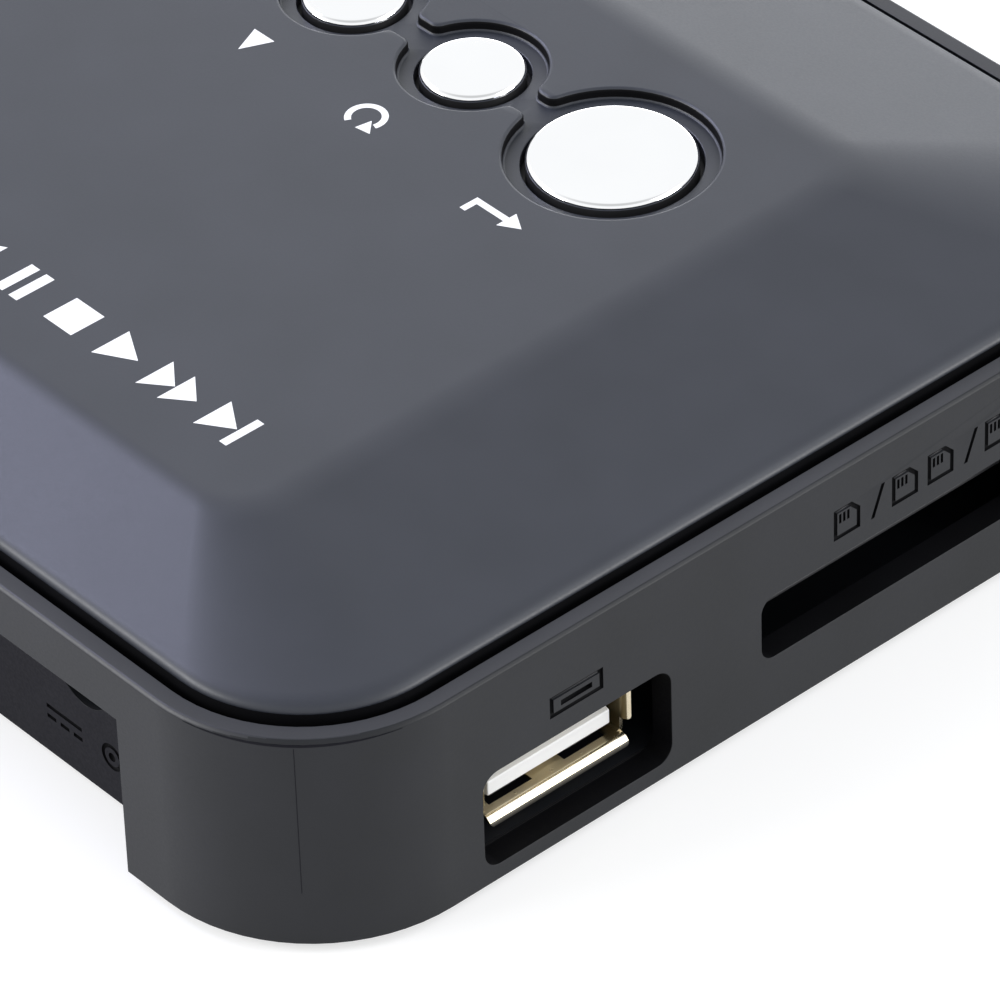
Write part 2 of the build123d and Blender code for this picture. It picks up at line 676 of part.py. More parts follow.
def av_jack_ferrule():
    """The plated ring that lines the jack's mouth in the panel."""
    ring = rod_to_rear(av_x, port_level, AV_NOSE_RADIUS, panel_inner, port_front)
    return ring - rod_to_rear(av_x, port_level, AV_BORE_RADIUS, panel_inner, port_front)


def video_shell():
    """The sheet shell of the digital video socket."""
    return video_prism(0, video_inner, port_front) - video_prism(-SHEET, video_inner, port_front)


def video_tongue():
    """The insulator that fills the back of the video shell and carries a thin tongue."""
    start = video_inner + SOCKET_BACK
    end = port_front - VIDEO_TONGUE_SETBACK
    half = VIDEO_WIDTH / 2 - SHEET - VIDEO_TONGUE_GAP
    tall = VIDEO_TONGUE_THICKNESS / 2
    tongue = block(video_x - half, video_x + half, start, end, port_level - tall, port_level + tall)
    return video_prism(-SHEET, video_inner, start) + tongue


def chip(x, y, width, depth, low, height):
    """A moulded chip package with a bevelled top."""
    package = block(x - width / 2, x + width / 2, y - depth / 2, y + depth / 2, low, low + height)
    return chamfer(package.faces().sort_by(Axis.Z)[-1].edges(), CHIP_BEVEL)


def heat_sink():
    """An extruded sink with upright fins along the depth."""
    low = board_top + CHIP_HEIGHT + PAD_THICKNESS
    half = sink_half
    top = low + SINK_HEIGHT
    sink = block(-half, half, chip_y - half, chip_y + half, low, top)
    pitch = (2 * half - SINK_FIN) / (SINK_FINS - 1)
    for index in range(SINK_FINS - 1):
        start = -half + SINK_FIN + index * pitch
        end = start + pitch - SINK_FIN
        sink -= block(start, end, chip_y - half, chip_y + half, low + SINK_BASE, top)
    return sink


def thermal_pad():
    half = CHIP_SIDE / 2 - CHIP_BEVEL
    low = board_top + CHIP_HEIGHT
    return block(-half, half, chip_y - half, chip_y + half, low, low + PAD_THICKNESS)


def memory_chips():
    """Two memory chips side by side, to the right of the heat sink."""
    pitch = MEMORY_WIDTH + MEMORY_GAP
    places = [sink_half + index * pitch - MEMORY_WIDTH / 2 for index in (1, 2)]
    return [chip(x, chip_y, MEMORY_WIDTH, MEMORY_LENGTH, board_top, MEMORY_HEIGHT) for x in places]


def flash_chip():
    x = RIGHT - FLASH_FROM_RIGHT
    y = FRONT + FLASH_FROM_FRONT
    return chip(x, y, FLASH_WIDTH, FLASH_LENGTH, board_top, FLASH_HEIGHT)


def crystal():
    """The crystal's long can with round ends, to the left of the heat sink."""
    x = -sink_half - MEMORY_GAP - CRYSTAL_DEPTH / 2
    outline = SlotOverall(CRYSTAL_WIDTH, CRYSTAL_DEPTH, rotation=90)
    return extrude(Pos(x, chip_y, board_top) * outline, CRYSTAL_HEIGHT)


def supply_rows():
    """The two rows behind the power inlet that hold a capacitor and an inductor each."""
    return [panel_inner - DC_BODY_LENGTH - index * CAPACITOR_PITCH for index in (1, 2)]


def capacitors():
    """Two can capacitors on square bases."""
    column = []
    for y in supply_rows():
        can = pillar(dc_x, y, 2 * CAPACITOR_RADIUS, board_top, board_top + CAPACITOR_BASE)
        can += rod(dc_x, y, CAPACITOR_RADIUS, board_top + CAPACITOR_BASE, board_top + CAPACITOR_HEIGHT)
        column.append(can)
    return column


def inductors():
    """Two shielded power inductors beside the capacitors, with bevelled corners."""
    column = []
    x = dc_x - CAPACITOR_RADIUS - INDUCTOR_GAP - INDUCTOR_SIDE / 2
    for y in supply_rows():
        shield = pillar(x, y, INDUCTOR_SIDE, board_top, board_top + INDUCTOR_HEIGHT)
        column.append(chamfer(shield.edges().filter_by(Axis.Z), INDUCTOR_BEVEL))
    return column


def window_pane(growth, y_low, y_high):
    """The window's outline run through part of the front wall."""
    outline = RectangleRounded(WINDOW_WIDTH + 2 * growth, WINDOW_HEIGHT + 2 * growth, WINDOW_ROUND + growth)
    face = Plane((window_x, y_low, WINDOW_LEVEL), x_dir=(-1, 0, 0), z_dir=(0, 1, 0)) * outline
    return extrude(face, y_high - y_low)


def ir_window():
    """The dark window: a pane flush with the front and a flange behind the wall."""
    inner = FRONT + WALL
    return window_pane(0, FRONT, inner) + window_pane(WINDOW_LIP, inner, inner + WINDOW_FLANGE)


def ir_receiver():
    """The remote control receiver, hung under the board with its round lens to the front."""
    x = window_x - SENSOR_PITCH / 2
    half = RECEIVER_WIDTH / 2
    low = BOARD_HEIGHT - RECEIVER_HEIGHT
    body = block(x - half, x + half, sensor_front, sensor_front + RECEIVER_DEPTH, low, BOARD_HEIGHT)
    lens_front = sensor_front - RECEIVER_LENS_PROUD
    return body + rod_to_rear(x, WINDOW_LEVEL, RECEIVER_LENS_RADIUS, lens_front, sensor_front)


def status_lamp():
    """A small lamp lying in a block under the board, aimed at the window."""
    x = window_x + SENSOR_PITCH / 2
    half = LAMP_BLOCK / 2
    rear = sensor_front + LAMP_LENGTH
    body = block(x - half, x + half, sensor_front, rear, WINDOW_LEVEL - half, BOARD_HEIGHT)
    bulb = rod_to_rear(x, WINDOW_LEVEL, LAMP_RADIUS, sensor_front - LAMP_PROUD, sensor_front)
    return body + chamfer(bulb.faces().sort_by(Axis.Y)[0].edges(), LAMP_BEVEL)


def foot(x, y):
    return rod(x, y, FOOT_RADIUS, -FOOT_PROUD, FOOT_SUNK)


def screw(length):
    """A pan-head screw that stands on its head."""
    return rod(0, 0, SCREW_HEAD_RADIUS, -SCREW_HEAD_HEIGHT, 0) + rod(0, 0, SCREW_RADIUS, 0, length)


def cover_screws():
    """Four screws driven up through the posts into the cover's bosses."""
    length = post_height - SCREW_SINK + SCREW_BITE - HEAD_CLEARANCE
    return [Pos(x, y, SCREW_SINK) * screw(length) for x, y in POSTS]


def board_screws():
    """Four screws driven down through the board into the standoffs."""
    length = BOARD_THICKNESS + BOARD_SCREW_BITE - HEAD_CLEARANCE
    return [Pos(x, y, board_top) * Rot(180, 0, 0) * screw(length) for x, y in STANDOFFS]


pieces = {
    "lower_housing": lower_housing(),
    "top_cover": top_cover(),
    "key_guide": key_guide(),
    "main_board": main_board(),
    "usb_shell": usb_shell(),
    "usb_tongue": usb_tongue(),
    "usb_contacts": usb_contacts(),
    "card_socket_base": card_socket_base(),
    "card_socket_cover": card_socket_cover(),
    "card_contacts": card_contacts(),
    "dc_jack_body": dc_jack_body(),
    "dc_jack_pin": dc_jack_pin(),
    "av_jack_body": av_jack_body(),
    "av_jack_ferrule": av_jack_ferrule(),
    "video_shell": video_shell(),
    "video_tongue": video_tongue(),
    "media_processor": chip(0, chip_y, CHIP_SIDE, CHIP_SIDE, board_top, CHIP_HEIGHT),
    "thermal_pad": thermal_pad(),
    "heat_sink": heat_sink(),
    "memory_chips": memory_chips(),
    "flash_chip": flash_chip(),
    "crystal": crystal(),
    "capacitors": capacitors(),
    "inductors": inductors(),
    "ir_window": ir_window(),
    "ir_receiver": ir_receiver(),
    "status_lamp": status_lamp(),
    "cover_screws": cover_screws(),
    "board_screws": board_screws(),
}
for name, (x, radius) in KEYS.items():
    pieces[name + "_key"] = key_cap(x, radius)
    pieces[name + "_plunger"] = switch_plunger(x)
    pieces[name + "_switch"] = switch_body(x)
    pieces[name + "_switch_cover"] = switch_cover(x)
for (side, end), (x, y) in zip(CORNERS, FEET):
    place = ("front" if end < 0 else "rear") + ("_left" if side < 0 else "_right")
    pieces["foot_" + place] = foot(x, y)

# The feet lift the case, so that the set stands on the plane z = 0
os.makedirs("parts", exist_ok=True)
for name, piece in pieces.items():
    solids = Compound(piece) if isinstance(piece, list) else piece
    export_step(Pos(0, 0, FOOT_PROUD) * solids, "parts/" + name + ".step")
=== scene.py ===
import math
import bmesh
import bpy
from mathutils import Matrix, Vector
from mathutils.geometry import delaunay_2d_cdt


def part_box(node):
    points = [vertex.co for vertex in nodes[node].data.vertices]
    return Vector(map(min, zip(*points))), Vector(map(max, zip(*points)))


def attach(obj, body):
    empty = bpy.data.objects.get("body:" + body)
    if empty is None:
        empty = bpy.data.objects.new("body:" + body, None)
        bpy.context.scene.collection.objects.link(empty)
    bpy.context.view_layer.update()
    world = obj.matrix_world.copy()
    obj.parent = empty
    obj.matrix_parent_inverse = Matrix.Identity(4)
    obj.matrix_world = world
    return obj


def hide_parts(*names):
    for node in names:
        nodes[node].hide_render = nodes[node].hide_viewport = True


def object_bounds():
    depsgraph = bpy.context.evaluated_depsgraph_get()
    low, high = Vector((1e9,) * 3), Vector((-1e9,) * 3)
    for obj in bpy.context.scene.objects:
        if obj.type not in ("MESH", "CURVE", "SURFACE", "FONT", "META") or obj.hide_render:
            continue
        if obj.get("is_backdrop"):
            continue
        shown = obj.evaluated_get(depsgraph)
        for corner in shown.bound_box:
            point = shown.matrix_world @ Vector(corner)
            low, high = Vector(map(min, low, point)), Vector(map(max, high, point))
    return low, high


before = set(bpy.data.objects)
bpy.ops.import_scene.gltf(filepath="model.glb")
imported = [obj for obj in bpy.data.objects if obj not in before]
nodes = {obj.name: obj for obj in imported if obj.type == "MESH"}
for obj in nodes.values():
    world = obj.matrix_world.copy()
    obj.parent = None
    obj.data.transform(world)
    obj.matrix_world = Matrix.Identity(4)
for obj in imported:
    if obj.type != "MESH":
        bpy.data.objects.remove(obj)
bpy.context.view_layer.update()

# Lower housing
# The tray that the whole set stands in, moulded in one shot of dark grey ABS with a fine eroded grain.
# Its rim's upward faces, save those facing left, carry a painted sheen, a little paler and smoother.
# Its recessed panel, openings, groove and insides carry painted shade, and the signs by the sockets
# are sunk, with painted shade in their strokes.
MM = 0.001
SIGN_DEPTH = 0.25
SIGN_LINE = 0.34
SMOOTH_LIMIT = math.radians(38)
FLAT_LIMIT = math.radians(1)
WELD = 0.002
NOISE_LOW = 0.3
NOISE_HIGH = 0.7


def limits(node):
    """A piece's lowest and highest corners, in millimetres."""
    low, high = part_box(node)
    return low / MM, high / MM


def shift_colour(tree, value, first, second):
    """A colour that runs from one to the other over the middle range of a noise."""
    ramp = tree.nodes.new("ShaderNodeValToRGB")
    ramp.color_ramp.elements[0].position = NOISE_LOW
    ramp.color_ramp.elements[0].color = (*first, 1)
    ramp.color_ramp.elements[1].position = NOISE_HIGH
    ramp.color_ramp.elements[1].color = (*second, 1)
    tree.links.new(value, ramp.inputs["Fac"])
    return ramp.outputs["Color"]


def grain_value(tree, place, size):
    """Noise with lumps of one size, in millimetres."""
    noise = tree.nodes.new("ShaderNodeTexNoise")
    noise.inputs["Scale"].default_value = 1 / (size * MM)
    noise.inputs["Detail"].default_value = 2.0
    tree.links.new(place, noise.inputs["Vector"])
    return noise.outputs["Fac"]


def surface(name, dark, light, gloss, grain, height, metal=0.0, shine=0.5, blotch=7.0, along=(1, 1, 1)):
    """A finish with mottled colour, uneven gloss and a fine grain; its sizes are in millimetres."""
    paint = bpy.data.materials.new(name)
    paint.use_nodes = True
    tree = paint.node_tree
    shader = tree.nodes["Principled BSDF"]
    shader.inputs["Metallic"].default_value = metal
    shader.inputs["Specular IOR Level"].default_value = shine
    place = tree.nodes.new("ShaderNodeTexCoord").outputs["Object"]
    lay = tree.nodes.new("ShaderNodeMapping")
    lay.inputs["Scale"].default_value = along
    tree.links.new(place, lay.inputs["Vector"])
    mottle = grain_value(tree, place, blotch)
    tree.links.new(shift_colour(tree, mottle, dark, light), shader.inputs["Base Color"])
    fine = grain_value(tree, lay.outputs["Vector"], grain)
    spread = tree.nodes.new("ShaderNodeMapRange")
    spread.inputs["From Min"].default_value = NOISE_LOW
    spread.inputs["From Max"].default_value = NOISE_HIGH
    spread.inputs["To Min"].default_value = gloss[0]
    spread.inputs["To Max"].default_value = gloss[1]
    tree.links.new(fine, spread.inputs["Value"])
    tree.links.new(spread.outputs["Result"], shader.inputs["Roughness"])
    bump = tree.nodes.new("ShaderNodeBump")
    bump.inputs["Distance"].default_value = height * MM
    tree.links.new(fine, bump.inputs["Height"])
    tree.links.new(bump.outputs["Normal"], shader.inputs["Normal"])
    return paint


def plain_copy(node):
    """A copy of a piece's form, in millimetres, with its flat faces whole."""
    form = bmesh.new()
    form.from_mesh(nodes[node].data)
    bmesh.ops.scale(form, vec=(1 / MM,) * 3, verts=form.verts)
    bmesh.ops.remove_doubles(form, verts=form.verts, dist=WELD)
    bmesh.ops.dissolve_limit(form, angle_limit=FLAT_LIMIT, verts=form.verts, edges=form.edges)
    return form


def ease(form, easing, edges):
    bmesh.ops.bevel(
        form, geom=edges, offset=easing, segments=3, profile=0.5, affect="EDGES", clamp_overlap=True
    )


def sharp_edges(form, sharp=28):
    return [edge for edge in form.edges if edge.calc_face_angle(0) > math.radians(sharp)]


def eased(node, easing):
    """A copy of a piece's form with its sharp edges rounded, as moulds and press tools leave them."""
    form = plain_copy(node)
    ease(form, easing, sharp_edges(form))
    return form


def add_piece(form, name, paint, stands_for=(), body="case"):
    """Turns a form into a shaded piece that rides on a body and stands for the named pieces."""
    bmesh.ops.recalc_face_normals(form, faces=form.faces)
    bmesh.ops.scale(form, vec=(MM,) * 3, verts=form.verts)
    for face in form.faces:
        face.smooth = True
    mesh = bpy.data.meshes.new(name)
    form.to_mesh(mesh)
    form.free()
    mesh.materials.append(paint)
    piece = bpy.data.objects.new(name, mesh)
    bpy.context.scene.collection.objects.link(piece)
    if stands_for:
        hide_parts(*stands_for)
    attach(piece, body)
    even_shading(piece)
    return piece


def even_shading(piece):
    """Keeps flat faces flat and lets only the rounded edges catch the light."""
    piece.data.set_sharp_from_angle(angle=SMOOTH_LIMIT)
    weights = piece.modifiers.new("even_shading", "WEIGHTED_NORMAL")
    weights.keep_sharp = True


def encloses(outline, u, v):
    """Whether a point lies inside an outline."""
    inside = False
    for i, (u_end, v_end) in enumerate(outline):
        u_start, v_start = outline[i - 1]
        if (v_start > v) != (v_end > v):
            share = (v - v_start) / (v_end - v_start)
            if u < u_start + share * (u_end - u_start):
                inside = not inside
    return inside


def fill_face(form, loops, outlines):
    """Fills the flat face inside the first loop and outside the others, which have these flat outlines."""
    verts = [vert for loop in loops for vert in loop]
    points = [Vector(point) for outline in outlines for point in outline]
    edges = []
    for loop in loops:
        start = len(edges)
        edges += [(start + i, start + (i + 1) % len(loop)) for i in range(len(loop))]
    triangles_inside = 1
    for triangle in delaunay_2d_cdt(points, edges, [], triangles_inside, 1e-7)[2]:
        middle = sum((points[corner] for corner in triangle), Vector((0, 0))) / 3
        if encloses(outlines[0], *middle) and not any(encloses(hole, *middle) for hole in outlines[1:]):
            form.faces.new([verts[corner] for corner in triangle])


def join_loops(form, loops):
    """Skins a run of loops that have as many points each."""
    for lower, upper in zip(loops, loops[1:]):
        for i in range(len(lower)):
            form.faces.new((lower[i - 1], lower[i], upper[i], upper[i - 1]))


def add_plate(form, outlines, low, high, place):
    """Adds a plate between two levels; the first outline is its edge and the others are holes."""
    layers = []
    for level in (low, high):
        loops = [[form.verts.new(place(u, v, level)) for u, v in outline] for outline in outlines]
        fill_face(form, loops, outlines)
        layers.append(loops)
    for pair in zip(*layers):
        join_loops(form, pair)


def carve(piece, form):
    """Cuts a form out of a piece."""
    bmesh.ops.recalc_face_normals(form, faces=form.faces)
    bmesh.ops.scale(form, vec=(MM,) * 3, verts=form.verts)
    mesh = bpy.data.meshes.new("cutter")
    form.to_mesh(mesh)
    form.free()
    cutter = bpy.data.objects.new("cutter", mesh)
    bpy.context.scene.collection.objects.link(cutter)
    piece.modifiers.clear()
    cut = piece.modifiers.new("cut", "BOOLEAN")
    cut.object = cutter
    cut.solver = "EXACT"
    graph = bpy.context.evaluated_depsgraph_get()
    result = bpy.data.meshes.new_from_object(piece.evaluated_get(graph))
    piece.modifiers.clear()
    piece.data = result
    bpy.data.objects.remove(cutter)
    even_shading(piece)


def box_outline(u_low, u_high, v_low, v_high, clip=0.0):
    """A rectangle, with its upper right corner clipped off where a clip is given."""
    corner = [(u_high, v_high - clip), (u_high - clip, v_high)] if clip else [(u_high, v_high)]
    return [(u_low, v_low), (u_high, v_low), *corner, (u_low, v_high)]


def ring_outline(u, v, radius, steps=40):
    turns = [2 * math.pi * step / steps for step in range(steps)]
    return [(u + radius * math.cos(turn), v + radius * math.sin(turn)) for turn in turns]


case_low, case_high = limits("lower_housing")
usb_low, usb_high = limits("usb_shell")
card_low = limits("card_socket_base")[0]
dc_low, dc_high = limits("dc_jack_body")
usb_y = (usb_low.y + usb_high.y) / 2
dc_x = (dc_low.x + dc_high.x) / 2
PANEL_SINK = 0.5
panel_y = dc_high.y + PANEL_SINK
flank_x = case_low.x


def on_flank(u, v, level):
    """A point on the left flank: u runs to the front, v up and the level outwards."""
    return (flank_x - level, -u, v)


def on_panel(u, v, level):
    """A point on the rear panel: u runs to the left, v up and the level outwards."""
    return (-u, panel_y + level, v)


SIGN_REACH = 1
signs = bmesh.new()


def sink(place, *outlines):
    """Adds a sunk stroke to the signs; the outlines after the first are islands in it."""
    add_plate(signs, outlines, -SIGN_DEPTH, SIGN_REACH, place)


def sign_frame(left, right, foot, top, clip=0.0, island_clip=0.0):
    """The outlines of a sign's edge and of the island inside its line."""
    edge = box_outline(left, right, foot, top, clip)
    line = SIGN_LINE
    return edge, box_outline(left + line, right - line, foot + line, top - line, island_clip)


PLUG_SIGN_HALF = 2.4
PLUG_SIGN_FOOT = 11.9
PLUG_SIGN_TOP = 13.7
PLUG_TONGUE_INSET = 1
PLUG_TONGUE_FOOT = PLUG_SIGN_FOOT + 0.65
PLUG_TONGUE_TOP = PLUG_SIGN_FOOT + 1.1
left = -usb_y - PLUG_SIGN_HALF
right = -usb_y + PLUG_SIGN_HALF
sink(on_flank, *sign_frame(left, right, PLUG_SIGN_FOOT, PLUG_SIGN_TOP))
left += PLUG_TONGUE_INSET
right -= PLUG_TONGUE_INSET
sink(on_flank, box_outline(left, right, PLUG_TONGUE_FOOT, PLUG_TONGUE_TOP))
CARD_SIGN_STARTS = (3.4, 8.9, 12.3, 17.8, 21.2)
CARD_SIGN_WIDTH = 2.5
CARD_SIGN_HEIGHT = 2.6
CARD_SIGN_FOOT = 12.55
CARD_SIGN_TOP = CARD_SIGN_FOOT + CARD_SIGN_HEIGHT
CARD_CLIP = 0.8
CARD_ISLAND_CLIP = 0.6
CARD_STRIP_STEPS = (0.5, 0.88, 1.26)
CARD_STRIP_WIDTH = 0.22
CARD_STRIP_FOOT = CARD_SIGN_TOP - 1.3
CARD_STRIP_TOP = CARD_SIGN_TOP - 0.5
SLASH_STARTS = (6.9, 15.8)
SLASH_LEAN = 1
for start in CARD_SIGN_STARTS:
    end = start + CARD_SIGN_WIDTH
    sink(on_flank, *sign_frame(start, end, CARD_SIGN_FOOT, CARD_SIGN_TOP, CARD_CLIP, CARD_ISLAND_CLIP))
    for step in CARD_STRIP_STEPS:
        left = start + step
        sink(on_flank, box_outline(left, left + CARD_STRIP_WIDTH, CARD_STRIP_FOOT, CARD_STRIP_TOP))
for start in SLASH_STARTS:
    slash = [(start, CARD_SIGN_FOOT), (start + SIGN_LINE, CARD_SIGN_FOOT)]
    slash += [(start + SLASH_LEAN + SIGN_LINE, CARD_SIGN_TOP), (start + SLASH_LEAN, CARD_SIGN_TOP)]
    sink(on_flank, slash)
BAR_SETOFF = 4.4
BAR_LENGTH = 3.8
BAR_TOP = 5.2
DASH_COUNT = 3
DASH_PITCH = 1.42
DASH_LENGTH = 0.96
DASH_TOP = BAR_TOP - 0.9
POLE_SETOFF = 2.6
POLE_MIDDLE = 4.6
POLE_RADIUS = 1.1
POLE_DOT = 0.36
bar_start = -dc_x - BAR_SETOFF
sink(on_panel, box_outline(bar_start, bar_start + BAR_LENGTH, BAR_TOP - SIGN_LINE, BAR_TOP))
for index in range(DASH_COUNT):
    start = bar_start + index * DASH_PITCH
    sink(on_panel, box_outline(start, start + DASH_LENGTH, DASH_TOP - SIGN_LINE, DASH_TOP))
pole = (-dc_x + POLE_SETOFF, POLE_MIDDLE)
sink(on_panel, ring_outline(*pole, POLE_RADIUS), ring_outline(*pole, POLE_RADIUS - SIGN_LINE))
sink(on_panel, ring_outline(*pole, POLE_DOT, 20))

HOUSING_DARK = (0.0085, 0.0095, 0.0115)
HOUSING_LIGHT = (0.0115, 0.0125, 0.0155)
RIM_DARK = (0.016, 0.017, 0.021)
RIM_LIGHT = (0.020, 0.021, 0.026)
PANEL_DARK = (0.0035, 0.0035, 0.0065)
PANEL_LIGHT = (0.006, 0.006, 0.0095)
SHADE_DARK = (0.0015, 0.0015, 0.002)
SHADE_LIGHT = (0.003, 0.003, 0.004)
CASE_CORNER = 13.5
HOUSING_EASE = 0.2
HOUSING_SHARP = 60
RIM_BEVEL = 0.5
RIM_LEAN = math.sqrt(0.5)
LEAN_SLACK = 0.02
LEVEL_SLACK = 0.01
RIM_GROWTH = 0.27
RIM_EASE = 0.09
housing_form = plain_copy("lower_housing")
housing_form.normal_update()
rim_verts = {}
for face in housing_form.faces:
    leans_half = abs(face.normal.z - RIM_LEAN) < LEAN_SLACK
    if leans_half and face.calc_center_median().z > case_high.z - RIM_BEVEL:
        for vert in face.verts:
            rim_verts.setdefault(vert, Vector())
            rim_verts[vert] += face.normal
for vert, way in rim_verts.items():
    if vert.co.z > case_high.z - LEVEL_SLACK:
        vert.co += Vector((way.x, way.y, 0)).normalized() * RIM_GROWTH
    else:
        vert.co.z += RIM_GROWTH
housing_form.normal_update()
rim_edges = [edge for edge in sharp_edges(housing_form) if set(edge.verts) <= set(rim_verts)]
ease(housing_form, RIM_EASE, rim_edges)
ease(housing_form, HOUSING_EASE, sharp_edges(housing_form, HOUSING_SHARP))
housing_paint = surface(
    "housing_satin", HOUSING_DARK, HOUSING_LIGHT, (0.40, 0.46), 0.22, 0.003, shine=0.28
)
# This paler, glossier paint is a painted sheen for the rim.
rim_sheen_paint = surface("rim_painted_sheen", RIM_DARK, RIM_LIGHT, (0.38, 0.44), 0.22, 0.003, shine=0.42)
# This darker paint is painted shade for the recessed panel under the rim.
panel_shade_paint = surface("panel_painted_shade", PANEL_DARK, PANEL_LIGHT, (0.55, 0.65), 0.22, 0.003, shine=0.11)
# This near-black paint is painted shade for the insides, holes, openings, groove and sunk signs.
shade_paint = surface("painted_shade_inside", SHADE_DARK, SHADE_LIGHT, (0.6, 0.7), 0.22, 0.003, shine=0.1)
housing = add_piece(housing_form, "housing_shell", housing_paint, ["lower_housing"])
carve(housing, signs)
for paint in (panel_shade_paint, shade_paint, rim_sheen_paint):
    housing.data.materials.append(paint)
PANEL_SLOT, SHADE_SLOT, RIM_SLOT = 1, 2, 3
PANEL_TOP = case_high.z - 4
PANEL_HOLES_DEPTH = 0.6
MOUTHS_TOP = case_high.z - 3
MOUTHS_DEPTH = 6
MOUTHS_FRONT = card_low.y - 4
MOUTHS_REAR = usb_high.y + 3
GROOVE_REACH = 0.45
NEAR = 0.05
WALL_SKIN = 0.1
PANEL_FACING = 0.9
RIM_FACING = 0.3
RIM_LEFT_FACING = 0.35
FLANK_FACING = 0.9999
cover_low, cover_high = limits("top_cover")
wall_end = case_high.y - CASE_CORNER - WALL_SKIN
for face in housing.data.polygons:
    middle = face.center / MM
    behind_panel = panel_y - middle.y
    in_recess = middle.z < PANEL_TOP
    past_wall = WALL_SKIN < middle.x - flank_x < MOUTHS_DEPTH and middle.z < MOUTHS_TOP
    in_mouths = past_wall and MOUTHS_FRONT < middle.y < MOUTHS_REAR
    by_cover = abs(middle.x) < cover_high.x + GROOVE_REACH and abs(middle.y) < cover_high.y + GROOVE_REACH
    in_groove = by_cover and cover_low.z < middle.z < case_high.z - RIM_BEVEL
    on_rim = middle.z > case_high.z - RIM_BEVEL
    # The recessed panel carries painted shade, darker than the rest of the housing.
    if face.normal.y > PANEL_FACING and abs(behind_panel) < NEAR and in_recess:
        face.material_index = PANEL_SLOT
        face.use_smooth = False
    # The panel's holes and the sunk signs on it carry painted shade.
    elif NEAR < behind_panel < PANEL_HOLES_DEPTH and in_recess:
        face.material_index = SHADE_SLOT
    # The rim's upward faces, except those facing left, carry a painted sheen.
    elif face.normal.z > RIM_FACING and face.normal.x > -RIM_LEFT_FACING and on_rim:
        face.material_index = RIM_SLOT
    # The insides of the openings, the sunk signs on the flank and the groove by the cover carry painted
    # shade.
    elif in_mouths or in_groove:
        face.material_index = SHADE_SLOT
    elif face.normal.x < -FLANK_FACING:
        reach = max(abs(housing.data.vertices[index].co.y) for index in face.vertices)
        face.use_smooth = reach / MM > wall_end

# Mould line
# The fine line that the mould's halves leave down the rear left corner of the housing, and a thin strip
# under the rim there. Both stand a hair proud; their dark paint is painted shade on the line and a painted
# dark reflection under the rim.
WITNESS_TURN = math.radians(134.7)
WITNESS_HALF = 0.025
WITNESS_RISE = 0.02
WITNESS_ROOT = -0.2
WITNESS_FOOT = case_low.z + 4.5
WITNESS_TOP = case_high.z - 0.7
SEAM_START = 101
SEAM_END = 166
SEAM_STEPS = 40
SEAM_TOP = case_high.z - 0.32
SEAM_HEIGHT = 0.2
SEAM_THIN = 0.02
SEAM_PROUD = 0.012
witness_way = Vector((math.cos(WITNESS_TURN), math.sin(WITNESS_TURN), 0))
witness_across = Vector((-witness_way.y, witness_way.x, 0))
corner_middle = Vector((case_low.x + CASE_CORNER, case_high.y - CASE_CORNER, 0))


def on_corner(u, v, level):
    """A point at the rear left corner: u outwards, v along the wall and the level up."""
    return corner_middle + witness_way * (CASE_CORNER + u) + witness_across * v + Vector((0, 0, level))


witness_form = bmesh.new()
witness = [(WITNESS_ROOT, -WITNESS_HALF), (0, -WITNESS_HALF), (WITNESS_RISE, 0)]
witness += [(0, WITNESS_HALF), (WITNESS_ROOT, WITNESS_HALF)]
add_plate(witness_form, [witness], WITNESS_FOOT, WITNESS_TOP, on_corner)
painted_reflection_seam = []
for step in range(SEAM_STEPS + 1):
    share = step / SEAM_STEPS
    turn = math.radians(SEAM_START + (SEAM_END - SEAM_START) * share)
    way = Vector((math.cos(turn), math.sin(turn), 0))
    foot = SEAM_TOP - SEAM_THIN - SEAM_HEIGHT * math.sin(math.pi * share)
    section = [(WITNESS_ROOT, SEAM_TOP), (SEAM_PROUD, SEAM_TOP), (SEAM_PROUD, foot), (WITNESS_ROOT, foot)]
    ring = []
    for reach, height in section:
        point = corner_middle + way * (CASE_CORNER + reach) + Vector((0, 0, height))
        ring.append(witness_form.verts.new(point))
    painted_reflection_seam.append(ring)
join_loops(witness_form, painted_reflection_seam)
for ring in (painted_reflection_seam[0], painted_reflection_seam[-1]):
    witness_form.faces.new(ring)
# Both wear the panel's dark paint: painted shade on the line, a painted dark reflection under the rim.
witness_line = add_piece(witness_form, "mould_line_painted_shade", panel_shade_paint)

# Feet
# Four soft round feet pushed into shallow seats under the housing, cut from black rubber.
# Their undersides are dished a little, so that they grip the table with a ring.
FOOT_EDGE = 0.35
FOOT_DISH = 0.15
FOOT_RING_SHARE = 0.7
FOOT_HOLLOW_SHARE = 0.45
FOOT_HOLLOW_RISE = FOOT_DISH * 0.8
foot_paint = surface("foot_rubber", (0.018, 0.018, 0.018), (0.028, 0.028, 0.028), (0.7, 0.85), 0.4, 0.02)


def arc_points(radius, height, size, start, end, steps=5):
    """Points of an arc round a centre in a turned profile; the turns are in degrees."""
    turns = [math.radians(start + (end - start) * step / steps) for step in range(steps + 1)]
    return [(radius + size * math.cos(turn), height + size * math.sin(turn)) for turn in turns]


def add_turned(form, profile, x, y, steps=64):
    """Adds a form turned about an upright axis from a profile that starts and ends on the axis."""
    rings = []
    for radius, height in profile:
        count = steps if radius > 1e-6 else 1
        turns = [2 * math.pi * step / steps for step in range(count)]
        ring = [(x + radius * math.cos(turn), y + radius * math.sin(turn), height) for turn in turns]
        rings.append([form.verts.new(point) for point in ring])
    for lower, upper in zip(rings, rings[1:]):
        for i in range(steps):
            j = (i + 1) % steps
            corners = [lower[i % len(lower)], lower[j % len(lower)]]
            corners += [upper[j % len(upper)], upper[i % len(upper)]]
            form.faces.new(list(dict.fromkeys(corners)))


